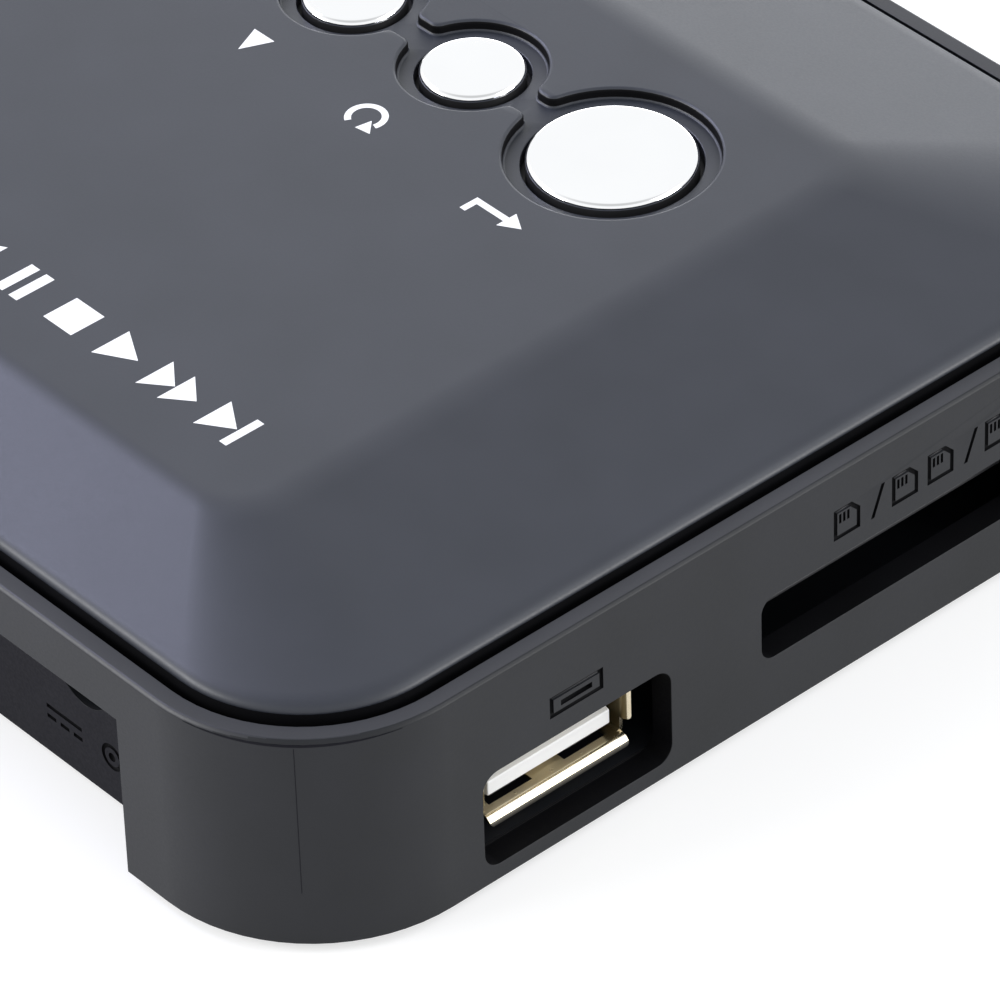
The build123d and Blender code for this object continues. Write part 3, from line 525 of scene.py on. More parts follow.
for place in ("front_left", "front_right", "rear_left", "rear_right"):
    low, high = limits("foot_" + place)
    radius = (high.x - low.x) / 2
    profile = [(0, low.z + FOOT_DISH), (radius * FOOT_HOLLOW_SHARE, low.z + FOOT_HOLLOW_RISE)]
    profile += [(radius * FOOT_RING_SHARE, low.z)]
    profile += arc_points(radius - FOOT_EDGE, low.z + FOOT_EDGE, FOOT_EDGE, -90, 0)
    profile += [(radius, high.z), (0, high.z)]
    foot_form = bmesh.new()
    add_turned(foot_form, profile, (low.x + high.x) / 2, (low.y + high.y) / 2)
    add_piece(foot_form, "rubber_foot_" + place, foot_paint, ["foot_" + place])

# Main board
# The circuit board on its four standoffs, cut from a laminate of glass and resin.
# A green mask covers both faces, and four screws hold it down.
board_paint = surface("board_mask", (0.006, 0.045, 0.018), (0.010, 0.062, 0.026), (0.3, 0.4), 0.5, 0.006)


def dress(paint, *names):
    """Gives pieces that keep their own form their finish."""
    for name in names:
        nodes[name].data.materials.clear()
        nodes[name].data.materials.append(paint)


dress(board_paint, "main_board")

# Chips, thermal pad and heat sink
# The processor, memory and flash chips in black moulding resin, a grey silicone pad on the processor,
# and on that an extruded aluminium sink whose fins run along the depth of the set.
resin_paint = surface("chip_resin", (0.012, 0.012, 0.013), (0.022, 0.022, 0.024), (0.5, 0.62), 0.15, 0.006)
pad_paint = surface("pad_silicone", (0.16, 0.18, 0.21), (0.20, 0.22, 0.25), (0.7, 0.85), 0.6, 0.02)
SINK_DARK = (0.55, 0.56, 0.57)
SINK_LIGHT = (0.68, 0.69, 0.70)
ALONG_FINS = (1, 0.05, 1)
sink_paint = surface(
    "sink_aluminium", SINK_DARK, SINK_LIGHT, (0.28, 0.42), 0.3, 0.004, metal=1.0, along=ALONG_FINS
)
dress(resin_paint, "media_processor", "memory_chips", "flash_chip")
dress(pad_paint, "thermal_pad")
dress(sink_paint, "heat_sink")

# Crystal, capacitors and inductors
# A pressed steel can on the crystal, aluminium cans on the supply capacitors
# and ferrite blocks on the coils, all soldered to the board.
can_paint = surface(
    "crystal_can", (0.60, 0.59, 0.56), (0.72, 0.71, 0.68), (0.22, 0.34), 0.4, 0.003, metal=1.0
)
sleeve_paint = surface(
    "capacitor_can", (0.70, 0.71, 0.72), (0.80, 0.81, 0.82), (0.25, 0.36), 0.3, 0.003, metal=1.0
)
ferrite_paint = surface(
    "ferrite_block", (0.030, 0.030, 0.032), (0.055, 0.054, 0.055), (0.6, 0.8), 0.25, 0.02
)
dress(can_paint, "crystal")
dress(sleeve_paint, "capacitors")
dress(ferrite_paint, "inductors")

# USB socket
# A shell folded from plated sheet, with rolled lips close behind the wall and two spring fingers
# in its floor, round a moulded white tongue that carries four gold-plated strips.
SHEET = 0.3
SHELL_CORNER = 0.55
LONG_LIP = ((0.25, 0, 1), (0.16, 45, 6), (0.3, 0, 6), (0.19, 43, 6))
SIDE_LIP = ((0.5, 55, 9), (0.12, 0, 2))
LIP_CORNER = 0.25
SIDE_LIP_SHARE = 0.5
FINGER_SPACING = 6.8
FINGER_WIDTH = 2.3
FINGER_GAP = 0.8
FINGER_SETBACK = 0.3
FINGER_LENGTH = 4.6
FINGER_RISE = 0.3
FINGER_ROOT = 0.3
FINGER_NOSE = 1.1
FINGER_TIP_RISE = FINGER_RISE * 0.4
LIP_LENGTH = 1.0
LIP_RISE = 0.65
MOUTH_FORWARD = 0.55
shell_paint = surface(
    "shell_plating", (0.68, 0.59, 0.40), (0.78, 0.70, 0.53), (0.2, 0.28), 0.6, 0.0006, metal=1.0, blotch=3.0
)
tongue_paint = surface("tongue_white", (0.90, 0.90, 0.89), (0.94, 0.94, 0.93), (0.4, 0.5), 0.3, 0.003)
gold_paint = surface(
    "contact_gold", (0.78, 0.55, 0.24), (0.86, 0.64, 0.32), (0.2, 0.3), 0.3, 0.002, metal=1.0
)


def rounded_box(half_u, half_v, corner, steps=6):
    """The outline of a rectangle with round corners, about its middle."""
    outline = []
    for quarter, (side, end) in enumerate(((1, 1), (-1, 1), (-1, -1), (1, -1))):
        for step in range(steps + 1):
            turn = math.radians(90 * (quarter + step / steps))
            u = side * (half_u - corner) + corner * math.cos(turn)
            outline.append((u, end * (half_v - corner) + corner * math.sin(turn)))
    return outline


def add_lip(form, half_width, edge, bends, place):
    """Adds a lip that rolls outwards from the shell's mouth; each bend has a length, a turn and steps."""
    path = [(0, 0, 0, 0)]
    for length, turn, steps in bends:
        for _ in range(steps):
            run, out, height, angle = path[-1]
            middle = angle + math.radians(turn / steps) / 2
            out += length / steps * math.cos(middle)
            height += length / steps * math.sin(middle)
            path.append((run + length / steps, out, height, angle + math.radians(turn / steps)))
    rows = []
    for run, out, height, angle in path:
        past = max(run - path[-1][0] + LIP_CORNER, 0)
        half = half_width - LIP_CORNER + math.sqrt(max(LIP_CORNER ** 2 - past ** 2, 0))
        row = []
        for depth in (0, SHEET):
            at = (out + depth * math.sin(angle), edge + height - depth * math.cos(angle))
            row += [place(at[0], -half, at[1]), place(at[0], half, at[1])]
        rows.append([form.verts.new(point) for point in row])
    for before, after in zip(rows, rows[1:]):
        for i, j in ((0, 1), (1, 3), (3, 2), (2, 0)):
            form.faces.new((before[i], before[j], after[j], after[i]))
    for row in (rows[0], rows[-1]):
        form.faces.new((row[0], row[1], row[3], row[2]))


mouth_x = usb_low.x + LIP_LENGTH - MOUTH_FORWARD
usb_z = (usb_low.z + usb_high.z) / 2
half_shell = (usb_high.y - usb_low.y) / 2 - LIP_RISE
half_height = (usb_high.z - usb_low.z) / 2 - LIP_RISE
shell_floor = usb_z - half_height


def at_mouth(u, v, level):
    """A point of the shell's section: u to the front, v up and the level from the mouth inwards."""
    return (mouth_x + level, usb_y - u, usb_z + v)


shell_form = bmesh.new()
outer = rounded_box(half_shell, half_height, SHELL_CORNER)
inner = rounded_box(half_shell - SHEET, half_height - SHEET, SHELL_CORNER - SHEET)
add_plate(shell_form, [outer, inner], 0, usb_high.x - mouth_x, at_mouth)
shell = add_piece(shell_form, "usb_plated_shell", shell_paint, ["usb_shell"])
windows = bmesh.new()
window_half = FINGER_WIDTH / 2 + FINGER_GAP


def at_floor(u, v, level):
    """A point over the shell's floor: u from the mouth inwards, v to the rear and the level up."""
    return (mouth_x + u, usb_y + v, shell_floor + level)


for v in (-FINGER_SPACING / 2, FINGER_SPACING / 2):
    window = box_outline(FINGER_SETBACK, FINGER_SETBACK + FINGER_LENGTH, v - window_half, v + window_half)
    add_plate(windows, [window], -SHEET, 2 * SHEET, at_floor)
carve(shell, windows)
# A darker copy of the plating: painted shade on the shell's inner side walls and the lips' sideways faces.
shell_shade_paint = surface(
    "shell_painted_shade", (0.16, 0.13, 0.07), (0.22, 0.18, 0.10), (0.3, 0.4), 0.6, 0.0006, metal=1.0
)
shell.data.materials.append(shell_shade_paint)
SHELL_SHADE_FACING = 0.2
for face in shell.data.polygons:
    aside = abs(face.center.y / MM - usb_y)
    if aside < half_shell - SHEET / 2 and abs(face.normal.y) > SHELL_SHADE_FACING:
        face.material_index = 1

lip_form = bmesh.new()
for end in (-1, 1):
    add_lip(lip_form, half_shell - LIP_CORNER, half_height, LONG_LIP,
            lambda out, v, height: (mouth_x - out, usb_y + v, usb_z + end * height))
    add_lip(lip_form, half_height * SIDE_LIP_SHARE, half_shell, SIDE_LIP,
            lambda out, v, height: (mouth_x - out, usb_y + end * height, usb_z + v))
tip = FINGER_SETBACK + FINGER_GAP
root = FINGER_SETBACK + FINGER_LENGTH
for v in (-FINGER_SPACING / 2, FINGER_SPACING / 2):
    bend = [(root + FINGER_ROOT, 0), (root, 0), (tip + FINGER_NOSE, FINGER_RISE), (tip, FINGER_TIP_RISE)]
    back = [(u, level + SHEET) for u, level in reversed(bend)]
    add_plate(lip_form, [bend + back], v - FINGER_WIDTH / 2, v + FINGER_WIDTH / 2,
              lambda u, level, across: at_floor(u, across, level))
lips = add_piece(lip_form, "usb_shell_lips", shell_paint)
# A much darker copy of the plating: painted shade on the lips' faces that turn outwards.
lip_shade_paint = surface(
    "lip_painted_shade", (0.045, 0.042, 0.036), (0.065, 0.061, 0.053), (0.4, 0.5), 0.4, 0.0006, metal=1.0
)
lips.data.materials.append(lip_shade_paint)
lips.data.materials.append(shell_shade_paint)
LIP_SHADE_FACING = 0.82
SIDE_FACING = 0.76
# Faces turned outwards carry painted shade.
for face in lips.data.polygons:
    if face.normal.x < -LIP_SHADE_FACING:
        face.material_index = 1
    # Faces turned sideways carry the darker plating as painted shade.
    elif abs(face.normal.y) > SIDE_FACING:
        face.material_index = 2
# The tongue and its strips come forward with the mouth.
for node, easing, name, paint in (
    ("usb_tongue", 0.12, "usb_white_tongue", tongue_paint),
    ("usb_contacts", 0.04, "usb_gold_strips", gold_paint),
):
    insert = eased(node, easing)
    front = limits(node)[0].x
    for vert in insert.verts:
        if vert.co.x < front + 2 * easing:
            vert.co.x -= MOUTH_FORWARD
    add_piece(insert, name, paint, [node])

# Memory card socket
# A black moulded frame under the board, a folded sheet cover below it,
# and a row of gold-plated strips that lie against the card.
black_paint = surface(
    "socket_black", (0.014, 0.014, 0.015), (0.022, 0.022, 0.024), (0.42, 0.55), 0.3, 0.004
)
add_piece(eased("card_socket_base", 0.12), "card_frame", black_paint, ["card_socket_base"])
sheet_paint = surface(
    "sheet_blackened", (0.020, 0.020, 0.022), (0.032, 0.032, 0.034), (0.5, 0.62), 0.4, 0.002
)
add_piece(eased("card_socket_cover", 0.08), "card_sheet_cover", sheet_paint, ["card_socket_cover"])
dress(gold_paint, "card_contacts")

# Power inlet
# A black moulded block behind the rear panel, with a round nose in the panel's hole
# and a plated centre pin down its bore.
pin_paint = surface(
    "pin_nickel", (0.66, 0.65, 0.62), (0.76, 0.75, 0.72), (0.16, 0.28), 0.3, 0.002, metal=1.0
)
add_piece(eased("dc_jack_body", 0.1), "power_inlet_block", black_paint, ["dc_jack_body"])
add_piece(eased("dc_jack_pin", 0.08), "power_inlet_pin", pin_paint, ["dc_jack_pin"])

# Sound and picture jack
# A bored black block with a plated ring in the panel, for a small round plug.
# Ring and block are pressed together and soldered in the board's cut-out.
add_piece(eased("av_jack_body", 0.1), "round_jack_block", black_paint, ["av_jack_body"])
add_piece(eased("av_jack_ferrule", 0.12), "round_jack_ring", pin_paint, ["av_jack_ferrule"])

# Digital video socket
# A folded sheet shell, wide above and narrow below, round a thin black tongue.
# The shell is plated, and its legs are soldered to the board.
add_piece(eased("video_shell", 0.07), "video_plated_shell", pin_paint, ["video_shell"])
add_piece(eased("video_tongue", 0.1), "video_black_tongue", black_paint, ["video_tongue"])

# Remote control receiver, status lamp and their window
# A dark resin receiver and a small lamp look out through a smoked acrylic window,
# which is pushed into the front wall from inside.
window_paint = surface(
    "window_smoked", (0.006, 0.003, 0.004), (0.010, 0.005, 0.006), (0.05, 0.09), 1.5, 0.001
)
receiver_paint = surface(
    "receiver_resin", (0.010, 0.008, 0.010), (0.016, 0.013, 0.016), (0.15, 0.25), 0.6, 0.002
)
lamp_paint = surface("lamp_resin", (0.62, 0.66, 0.72), (0.70, 0.74, 0.80), (0.12, 0.2), 0.8, 0.002)
add_piece(eased("ir_window", 0.15), "smoked_window", window_paint, ["ir_window"])
dress(receiver_paint, "ir_receiver")
dress(lamp_paint, "status_lamp")

# Push switches and plungers
# Five square switches soldered under the keys: a black base, a pressed steel cover
# and a pale plunger that the key's stem rests on.
base_paint = surface("switch_base", (0.016, 0.016, 0.017), (0.026, 0.026, 0.027), (0.45, 0.6), 0.3, 0.004)
plate_paint = surface(
    "switch_steel", (0.58, 0.58, 0.57), (0.68, 0.68, 0.67), (0.24, 0.36), 0.4, 0.003, metal=1.0
)
plunger_paint = surface("plunger_plastic", (0.55, 0.54, 0.50), (0.62, 0.61, 0.57), (0.45, 0.55), 0.3, 0.003)
KEY_NAMES = ("ok", "return", "up", "down", "power")
for key in KEY_NAMES:
    dress(base_paint, key + "_switch")
    dress(plate_paint, key + "_switch_cover")
    dress(plunger_paint, key + "_plunger")

# Keys
# Five round caps moulded in black ABS, each with a hidden lip and a square stem.
# Their tops are slightly domed, with rounded rims, and plated with polished chrome.
KEY_DOME = 0.18
KEY_ROUND = 0.4
KEY_PLATED_WALL = 0.02
KEY_LIP = 1.0
KEY_LIP_THICKNESS = 0.6
KEY_LIP_DROP = 2.0
KEY_STEM_HALF = 1.8
KEY_STEM_ROUND = 0.2
key_paint = surface(
    "key_chrome", (0.97, 0.97, 0.97), (0.99, 0.99, 0.99), (0.05, 0.08), 1.2, 0.0002, metal=1.0
)


def dome_points(reach, top, fall, steps=5):
    """Points of a shallow dome from its middle to its edge."""
    return [(reach * step / steps, top - fall * (step / steps) ** 2) for step in range(steps + 1)]


key_places = {}
for key in KEY_NAMES:
    low, high = limits(key + "_key")
    x = (low.x + high.x) / 2
    y = (low.y + high.y) / 2
    radius = (high.x - low.x) / 2 - KEY_LIP
    key_places[key] = (x, y, radius)
    shoulder = high.z - KEY_DOME - KEY_ROUND
    lip_top = high.z - KEY_LIP_DROP
    lip_foot = lip_top - KEY_LIP_THICKNESS
    profile = dome_points(radius - KEY_ROUND, high.z, KEY_DOME)
    profile += arc_points(radius - KEY_ROUND, shoulder, KEY_ROUND, 90, 0, 6)[1:]
    profile += [(radius, lip_top), (radius + KEY_LIP, lip_top), (radius + KEY_LIP, lip_foot), (0, lip_foot)]
    key_form = bmesh.new()
    add_turned(key_form, profile, x, y, 96)
    add_plate(key_form, [rounded_box(KEY_STEM_HALF, KEY_STEM_HALF, KEY_STEM_ROUND, 3)], low.z, lip_foot,
              lambda u, v, level: (x + u, y + v, level))
    cap = add_piece(key_form, key + "_chrome_key", key_paint, [key + "_key"], key + "_button")
    cap.data.materials.append(black_paint)
    for face in cap.data.polygons:
        if face.center.z / MM < shoulder - KEY_PLATED_WALL:
            face.material_index = 1

# Key guide
# A thin plate staked under the cover, with a square hole for each key's stem.
# It is moulded in natural acetal and keeps the keys upright.
guide_paint = surface("guide_acetal", (0.48, 0.48, 0.46), (0.55, 0.55, 0.53), (0.4, 0.5), 0.3, 0.003)
dress(guide_paint, "key_guide")

# Top cover
# The lid inside the rim, moulded in grey ABS with a satin grain: a short skirt, four soft-edged slopes
# and a flat crown with a pocket for the keys. Bosses under it take the screws.
COVER_DARK = (0.017, 0.020, 0.028)
COVER_LIGHT = (0.021, 0.024, 0.033)
COVER_CORNER = 11.2
COVER_WALL = 1.8
CROWN_RISE = 3.4
CROWN_SINK = 0.02
CROWN_SIDE = 17.6
CROWN_REAR = 10.3
CROWN_FRONT = 17.2
CROWN_CORNER = 4.0
CROWN_SOFT = 0.08
CROWN_SOFT_STEPS = 8
EDGE_FALL = 0.55
EDGE_SHARE = 0.08
EDGE_STEPS = 7
SKIRT_FOOT = 16.0
POCKET_MARGIN = 1.6
POCKET_DEPTH = 0.85
POCKET_MOUTH = 0.3
POCKET_FILLET = 0.2
NECK_HALF = 1.2
NECK_ROUND = 0.8
KEY_GAP = 0.35
HOLE_EASE = 0.12
BOSS_RADIUS = 3.6
BOSS_BORE = 1.3
BOSS_BORE_DEPTH = 5.0
BOSS_ROOF = 1.6
POST_INSET = 7.2
CORNER_STEPS = 18
crown_z = cover_high.z - CROWN_SINK


def slope_ring(share, inset, height):
    """The outline that the slopes reach at a share of their run, at one height."""
    side = inset + share * (CROWN_SIDE - inset)
    rear = inset + share * (CROWN_REAR - inset)
    front = inset + share * (CROWN_FRONT - inset)
    corner = COVER_CORNER - inset + share * (CROWN_CORNER - COVER_CORNER + inset)
    half_x = cover_high.x - side
    half_y = (cover_high.y - cover_low.y - rear - front) / 2
    middle = (front - rear) / 2
    outline = rounded_box(half_x, half_y, corner, CORNER_STEPS)
    return [(u, v + middle, height) for u, v in outline]


def slope_rings(inset, drop):
    """Rings from the foot of the skirt over the soft edge and the slopes to the flat crown."""
    crown = crown_z - drop
    edge = crown - CROWN_RISE
    rings = [slope_ring(0, inset, SKIRT_FOOT), slope_ring(0, inset, edge - EDGE_FALL)]
    lift = EDGE_SHARE * CROWN_RISE
    for step in range(1, EDGE_STEPS + 1):
        t = step / EDGE_STEPS
        height = (1 - t) ** 2 * (edge - EDGE_FALL) + 2 * t * (1 - t) * edge + t * t * (edge + lift)
        rings.append(slope_ring(t * t * EDGE_SHARE, inset, height))
    for step in range(CROWN_SOFT_STEPS + 1):
        t = step / CROWN_SOFT_STEPS
        share = 1 - CROWN_SOFT + 2 * CROWN_SOFT * t
        rings.append(slope_ring(share, inset, crown - (1 - t) ** 2 * CROWN_SOFT * CROWN_RISE))
    return rings


def pocket_outline(growth):
    """The outline round the row of keys: a circle for each, joined by necks with round throats."""
    row = [key_places[key] for key in KEY_NAMES]
    y = row[0][1]
    neck = NECK_HALF + growth
    throat = NECK_ROUND - growth
    upper = []
    for index, (x, _, radius) in enumerate(row):
        reach = radius + POCKET_MARGIN + growth
        lean = math.degrees(math.asin((neck + throat) / (reach + throat)))
        span = (reach + throat) * math.cos(math.radians(lean))
        first = 180 if index == 0 else 180 - lean
        last = 0 if index == len(row) - 1 else lean
        if index:
            throat_in = arc_points(0, neck + throat, throat, -90, -lean)[:-1]
            upper += [(x - span + a, y + b) for a, b in throat_in]
        upper += [(x + a, y + b) for a, b in arc_points(0, 0, reach, first, last, 30)]
        if index < len(row) - 1:
            throat_out = arc_points(0, neck + throat, throat, -180 + lean, -90)[1:]
            upper += [(x + span + a, y + b) for a, b in throat_out]
    lower = [(u, 2 * y - v) for u, v in reversed(upper[1:-1])]
    return upper + lower


def add_loop(form, points):
    return [form.verts.new(point) for point in points]


def fill_level(form, *loops):
    """Fills the level face between an outer loop and the loops inside it."""
    fill_face(form, loops, [[tuple(vert.co.xy) for vert in loop] for loop in loops])


cover_form = bmesh.new()
outside = [add_loop(cover_form, ring) for ring in slope_rings(0, 0)]
inside = [add_loop(cover_form, ring) for ring in slope_rings(COVER_WALL, COVER_WALL)]
join_loops(cover_form, inside[::-1] + outside)
pocket = []
for a, b in arc_points(POCKET_MOUTH, -POCKET_MOUTH, POCKET_MOUTH, 90, 180):
    pocket.append(add_loop(cover_form, [(u, v, crown_z + b) for u, v in pocket_outline(a)]))
pocket_floor = crown_z - POCKET_DEPTH
for a, b in arc_points(-POCKET_FILLET, POCKET_FILLET, POCKET_FILLET, 0, -90, 4):
    pocket.append(add_loop(cover_form, [(u, v, pocket_floor + b) for u, v in pocket_outline(a)]))
join_loops(cover_form, pocket)
fill_level(cover_form, outside[-1], pocket[0])
ceiling = crown_z - COVER_WALL
mouths = []
soffits = []
for x, y, radius in key_places.values():
    hole = radius + KEY_GAP
    levels = arc_points(hole + HOLE_EASE, pocket_floor - HOLE_EASE, HOLE_EASE, 90, 180, 3)
    levels += [(hole, ceiling)]
    rings = []
    for reach, height in levels:
        rings.append(add_loop(cover_form, [(u, v, height) for u, v in ring_outline(x, y, reach, 72)]))
    join_loops(cover_form, rings)
    mouths.append(rings[0])
    soffits.append(rings[-1])
fill_level(cover_form, pocket[-1], *mouths)
fill_level(cover_form, inside[-1], *soffits)
boss_top = ceiling - BOSS_ROOF
for side in (-1, 1):
    for end in (-1, 1):
        foot = cover_low.z
        bore = [(0, foot + BOSS_BORE_DEPTH), (BOSS_BORE, foot + BOSS_BORE_DEPTH), (BOSS_BORE, foot)]
        boss = bore + [(BOSS_RADIUS, foot), (BOSS_RADIUS, boss_top), (0, boss_top)]
        x = side * (cover_high.x - POST_INSET)
        add_turned(cover_form, boss, x, end * (cover_high.y - POST_INSET), 40)
cover_paint = surface("cover_satin", COVER_DARK, COVER_LIGHT, (0.38, 0.44), 0.2, 0.0025)
cover = add_piece(cover_form, "cover_shell", cover_paint, ["top_cover"])
# The groove below the cover's edge and the walls of the key pocket carry the near-black paint as painted
# shade.
cover.data.materials.append(shade_paint)
POCKET_SHADE_FOOT = pocket_floor + 0.008
POCKET_SHADE_TOP = crown_z - POCKET_MOUTH * 0.45
POCKET_WALL_LEAN = 0.5
for face in cover.data.polygons:
    height = face.center.z / MM
    in_groove = height < crown_z - CROWN_RISE - EDGE_FALL
    on_crown = abs(face.center.x / MM) < cover_high.x - CROWN_SIDE
    in_pocket = on_crown and POCKET_SHADE_FOOT < height < POCKET_SHADE_TOP
    if in_groove or in_pocket and abs(face.normal.z) < POCKET_WALL_LEAN:
        face.material_index = 1

# Printed marks
# White pad-printed marks on the crown: one behind each key, and a row of plain transport marks
# near the rear edge. The ink is thin and slightly rough.
INK_FOOT = crown_z - 0.005
INK_TOP = crown_z + 0.012
ink_paint = surface("white_ink", (0.80, 0.80, 0.80), (0.86, 0.86, 0.86), (0.5, 0.65), 0.15, 0.002)
ROW_HEIGHT = 3.4
ROW_MIDDLE = 26.1
ROW_PITCH = 5.45
ink_form = bmesh.new()


def add_mark(x, y, *outlines):
    """Prints outlines, given about a mark's middle, at one place on the crown."""
    for outline in outlines:
        add_plate(ink_form, [outline], INK_FOOT, INK_TOP,
                  lambda u, v, level: (x + u, y + v, level))


half = ROW_HEIGHT / 2


def pointer(start, end):
    """A triangle that points from one place to the other along the row."""
    return [(start, -half), (end, 0), (start, half)]


def bar_at(u, width):
    return box_outline(u - width / 2, u + width / 2, -half, half)


plus = [(-1.7, -0.35), (-0.35, -0.35), (-0.35, -1.7), (0.35, -1.7), (0.35, -0.35), (1.7, -0.35)]
row_marks = [
    [bar_at(-1.6, 0.7), pointer(1.5, -1.1)],
    [pointer(-0.1, -2.3), pointer(2.2, 0.0)],
    [pointer(1.5, -1.5)],
    [box_outline(-1.5, 1.5, -1.5, 1.5)],
    [bar_at(-0.8, 0.9), bar_at(0.8, 0.9)],
    [pointer(-1.5, 1.5)],
    [ring_outline(0, 0, 1.55)],
    [pointer(-2.1, 0.3), bar_at(0.9, 0.6), bar_at(1.9, 0.6)],
    [pointer(-2.2, 0.0), pointer(0.1, 2.3)],
    [pointer(-1.5, 1.1), bar_at(1.6, 0.7)],
    [box_outline(-1.7, 1.7, -half, -half + 0.7), [(-1.7, -0.55), (1.7, -0.55), (0, half)]],
    [box_outline(-1.7, 1.7, -0.35, 0.35)],
    [plus + [(-u, -v) for u, v in plus]],
]
for index, outlines in enumerate(row_marks):
    add_mark((index - (len(row_marks) - 1) / 2) * ROW_PITCH, ROW_MIDDLE, *outlines)


def arc_band(radius, line, start, end, steps=32):
    """A curved stroke between two turns, in degrees."""
    outer_edge = arc_points(0, 0, radius + line / 2, start, end, steps)
    return outer_edge + arc_points(0, 0, radius - line / 2, end, start, steps)


ARC_RADIUS = 1.35
ARC_LINE = 0.5
enter = [(2.05, 1.4), (2.05, 0.28), (-0.75, 0.28), (-0.75, 0.95), (-2.35, 0), (-0.75, -0.95)]
enter += [(-0.75, -0.28), (2.6, -0.28), (2.6, 1.4)]
turn_head = [(-0.65, 0.05), (-1.74, 1.2), (-0.40, 1.42)]
up_arrow = [(-1.1, -1.25), (1.1, -1.25), (0, 1.25)]
down_arrow = [(u, -v) for u, v in up_arrow]
key_marks = {
    "ok": (0, 10.7, [enter]),
    "return": (0.45, 9.7, [arc_band(ARC_RADIUS, ARC_LINE, 62, -196), turn_head]),
    "up": (0.2, 9.65, [up_arrow]),
    "down": (0, 9.65, [down_arrow]),
    "power": (0, 10.2, [arc_band(ARC_RADIUS, ARC_LINE, 125, 415), box_outline(-0.26, 0.26, 0.1, 1.75)]),
}
for key, (aside, behind, outlines) in key_marks.items():
    x, y, _ = key_places[key]
    add_mark(x + aside, y + behind, *outlines)
add_piece(ink_form, "crown_print", ink_paint)

# Screws
# Plated steel pan-head screws with cross recesses: four up through the posts into the cover,
# and four down through the board into its standoffs.
screw_paint = surface(
    "screw_zinc", (0.50, 0.50, 0.50), (0.62, 0.62, 0.61), (0.25, 0.4), 0.3, 0.003, metal=1.0
)
CROSS_LONG = 1.25
CROSS_WIDE = 0.26
CROSS_DEPTH = 0.8
add_piece(eased("board_screws", 0.15), "board_fixings", screw_paint, ["board_screws"])
cover_fixings = add_piece(eased("cover_screws", 0.25), "cover_fixings", screw_paint, ["cover_screws"])
screw_low = limits("cover_screws")[0]
crosses = bmesh.new()
cross = []
for turn in range(4):
    angle = math.radians(90 * turn)
    for u, v in ((CROSS_WIDE, CROSS_WIDE), (CROSS_WIDE, CROSS_LONG), (-CROSS_WIDE, CROSS_LONG)):
        cross.append((u * math.cos(angle) - v * math.sin(angle), u * math.sin(angle) + v * math.cos(angle)))
for side in (-1, 1):
    for end in (-1, 1):
        x = side * (cover_high.x - POST_INSET)
        y = end * (cover_high.y - POST_INSET)
        add_plate(crosses, [cross], screw_low.z - 1, screw_low.z + CROSS_DEPTH,
                  lambda u, v, level: (x + u, y + v, level))
carve(cover_fixings, crosses)

# Floor, light and camera
# A plain white table in a white surround that is dimmer overhead, lit by five softboxes round the set.
# The camera stands behind the set's left rear corner and looks down on it.
FLOOR_SIDE = 4.0
FLOOR_GLOW = 0.6
FLOOR_COLOUR = (0.5, 0.5, 0.5, 1)
ROOM_LIGHT = 0.7
ROOM_COLOUR = (0.97, 0.985, 1.0, 1)
OVERHEAD_SHARE = 0.62
OVERHEAD_FROM = 0.78


def seen_share(tree):
    """A value of 1 on rays that show the surround itself: seen, mirrored or through glass."""
    rays = tree.nodes.new("ShaderNodeLightPath")
    joined = rays.outputs["Is Camera Ray"]
    for kind in ("Is Glossy Ray", "Is Transmission Ray"):
        most = tree.nodes.new("ShaderNodeMath")
        most.operation = "MAXIMUM"
        tree.links.new(joined, most.inputs[0])
        tree.links.new(rays.outputs[kind], most.inputs[1])
        joined = most.outputs["Value"]
    return joined


floor_mesh = bpy.data.meshes.new("table")
floor_half = FLOOR_SIDE / 2
corners = [(-floor_half, -floor_half, 0), (floor_half, -floor_half, 0), (floor_half, floor_half, 0)]
corners += [(-floor_half, floor_half, 0)]
floor_mesh.from_pydata(corners, [], [(0, 1, 2, 3)])
floor = bpy.data.objects.new("table", floor_mesh)
bpy.context.scene.collection.objects.link(floor)
floor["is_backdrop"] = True
floor_paint = bpy.data.materials.new("table_white")
floor_paint.use_nodes = True
tree = floor_paint.node_tree
shader = tree.nodes["Principled BSDF"]
shader.inputs["Base Color"].default_value = FLOOR_COLOUR
shader.inputs["Roughness"].default_value = 0.9
shader.inputs["Specular IOR Level"].default_value = 0.0
glow = tree.nodes.new("ShaderNodeEmission")
share = tree.nodes.new("ShaderNodeMath")
share.operation = "MULTIPLY"
share.inputs[1].default_value = FLOOR_GLOW
tree.links.new(seen_share(tree), share.inputs[0])
tree.links.new(share.outputs["Value"], glow.inputs["Strength"])
blend = tree.nodes.new("ShaderNodeAddShader")
tree.links.new(shader.outputs["BSDF"], blend.inputs[0])
tree.links.new(glow.outputs["Emission"], blend.inputs[1])
tree.links.new(blend.outputs["Shader"], tree.nodes["Material Output"].inputs["Surface"])
floor_paint.cycles.emission_sampling = "NONE"
floor_mesh.materials.append(floor_paint)

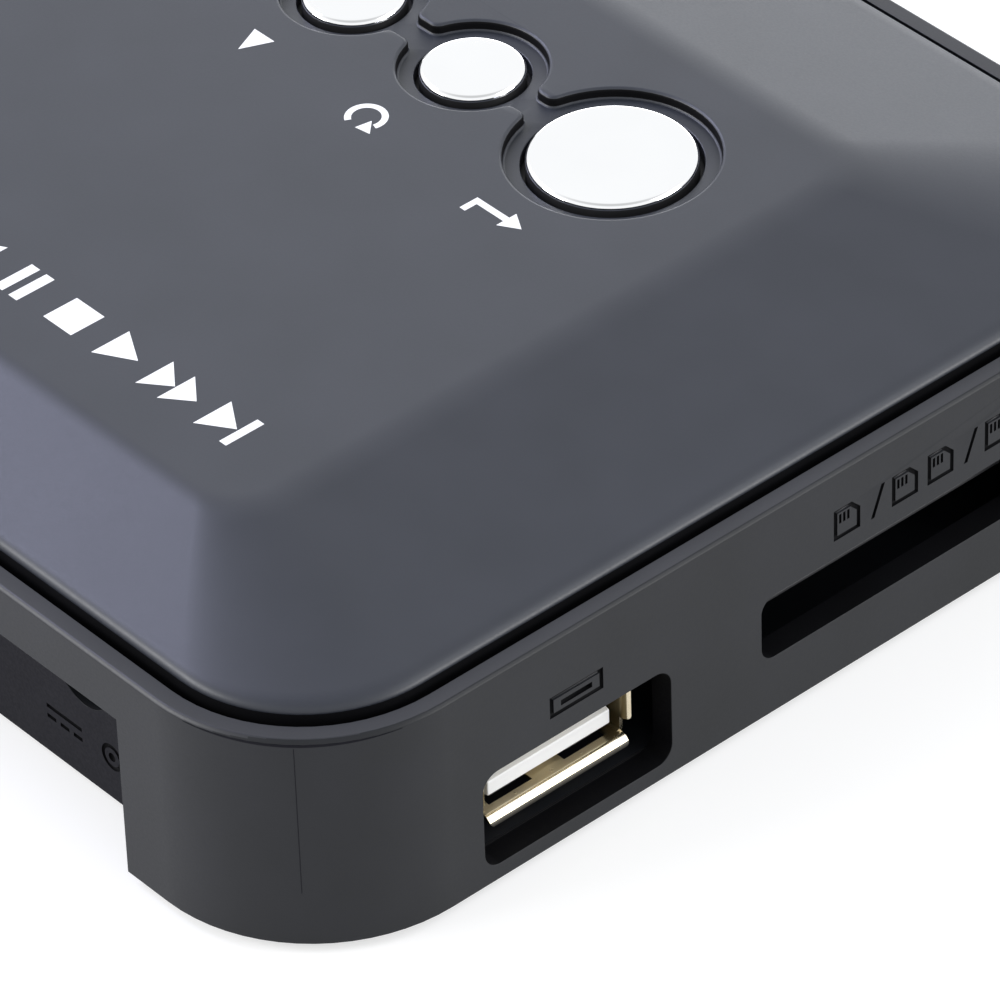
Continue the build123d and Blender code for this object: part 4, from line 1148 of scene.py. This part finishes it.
world = bpy.data.worlds.new("white_surround")
bpy.context.scene.world = world
world.use_nodes = True
tree = world.node_tree
world.cycles.sampling_method = "NONE"
room = tree.nodes["Background"]
room.inputs["Color"].default_value = ROOM_COLOUR
shown = tree.nodes.new("ShaderNodeBackground")
shown.inputs["Color"].default_value = ROOM_COLOUR
upward_share = tree.nodes.new("ShaderNodeSeparateXYZ")
direction = tree.nodes.new("ShaderNodeTexCoord").outputs["Generated"]
tree.links.new(direction, upward_share.inputs["Vector"])
fall = tree.nodes.new("ShaderNodeMapRange")
fall.interpolation_type = "SMOOTHSTEP"
fall.inputs["From Min"].default_value = OVERHEAD_FROM
fall.inputs["From Max"].default_value = 1.0
fall.inputs["To Min"].default_value = 1.0
fall.inputs["To Max"].default_value = OVERHEAD_SHARE
tree.links.new(upward_share.outputs["Z"], fall.inputs["Value"])
for background, strength in ((room, ROOM_LIGHT), (shown, 1.0)):
    level = tree.nodes.new("ShaderNodeMath")
    level.operation = "MULTIPLY"
    level.inputs[1].default_value = strength
    tree.links.new(fall.outputs["Result"], level.inputs[0])
    tree.links.new(level.outputs["Value"], background.inputs["Strength"])
choice = tree.nodes.new("ShaderNodeMixShader")
tree.links.new(seen_share(tree), choice.inputs[0])
tree.links.new(room.outputs["Background"], choice.inputs[1])
tree.links.new(shown.outputs["Background"], choice.inputs[2])
tree.links.new(choice.outputs["Shader"], tree.nodes["World Output"].inputs["Surface"])


def softbox(name, direction, distance, width, height, power, colour=(1, 1, 1)):
    """A rectangular softbox that faces the set from one direction."""
    data = bpy.data.lights.new(name, "AREA")
    data.shape = "RECTANGLE"
    data.size = width
    data.size_y = height
    data.energy = power
    data.color = colour
    lamp = bpy.data.objects.new(name, data)
    bpy.context.scene.collection.objects.link(lamp)
    towards = Vector(direction).normalized()
    lamp.location = towards * distance
    lamp.rotation_mode = "QUATERNION"
    lamp.rotation_quaternion = towards.to_track_quat("Z", "Y")


softbox("low_softbox", (0.64, -0.74, 0.24), 1.0, 0.7, 0.3, 2.0, (0.95, 0.97, 1.0))
softbox("cool_softbox", (0.74, 0.10, 0.665), 1.0, 0.5, 0.5, 6.3, (0.70, 0.72, 1.0))
softbox("left_softbox", (-0.45, -0.52, 0.72), 1.0, 0.6, 0.4, 1.9, (0.9, 0.93, 1.0))
softbox("flank_softbox", (-0.8, -0.5, 0.3), 1.0, 0.6, 0.4, 5.2)
softbox("rear_softbox", (0.45, 0.78, 0.44), 1.0, 0.6, 0.4, 6.6)

camera_data = bpy.data.cameras.new("photo_camera")
camera = bpy.data.objects.new("photo_camera", camera_data)
bpy.context.scene.collection.objects.link(camera)
bpy.context.scene.camera = camera
camera_data.sensor_fit = "HORIZONTAL"
camera_data.sensor_width = 36.0
camera_data.lens = 276.27
azimuth = math.radians(40.405)
elevation = math.radians(38.544)
roll = math.radians(-2.072)
camera_place = Vector((-0.35672, 0.27787, 0.34177))
level_run = math.cos(elevation)
back = Vector((-math.cos(azimuth) * level_run, math.sin(azimuth) * level_run, math.sin(elevation)))
across = Vector((0, 0, 1)).cross(back).normalized()
upward = back.cross(across)
rolled_across = math.cos(roll) * across + math.sin(roll) * upward
rolled_up = -math.sin(roll) * across + math.cos(roll) * upward
axes = Matrix((rolled_across, rolled_up, back)).transposed()
camera.matrix_world = Matrix.Translation(camera_place) @ axes.to_4x4()
bpy.context.scene.view_settings.view_transform = "Standard"

# Sizes
# The box of the finished model.
low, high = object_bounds()
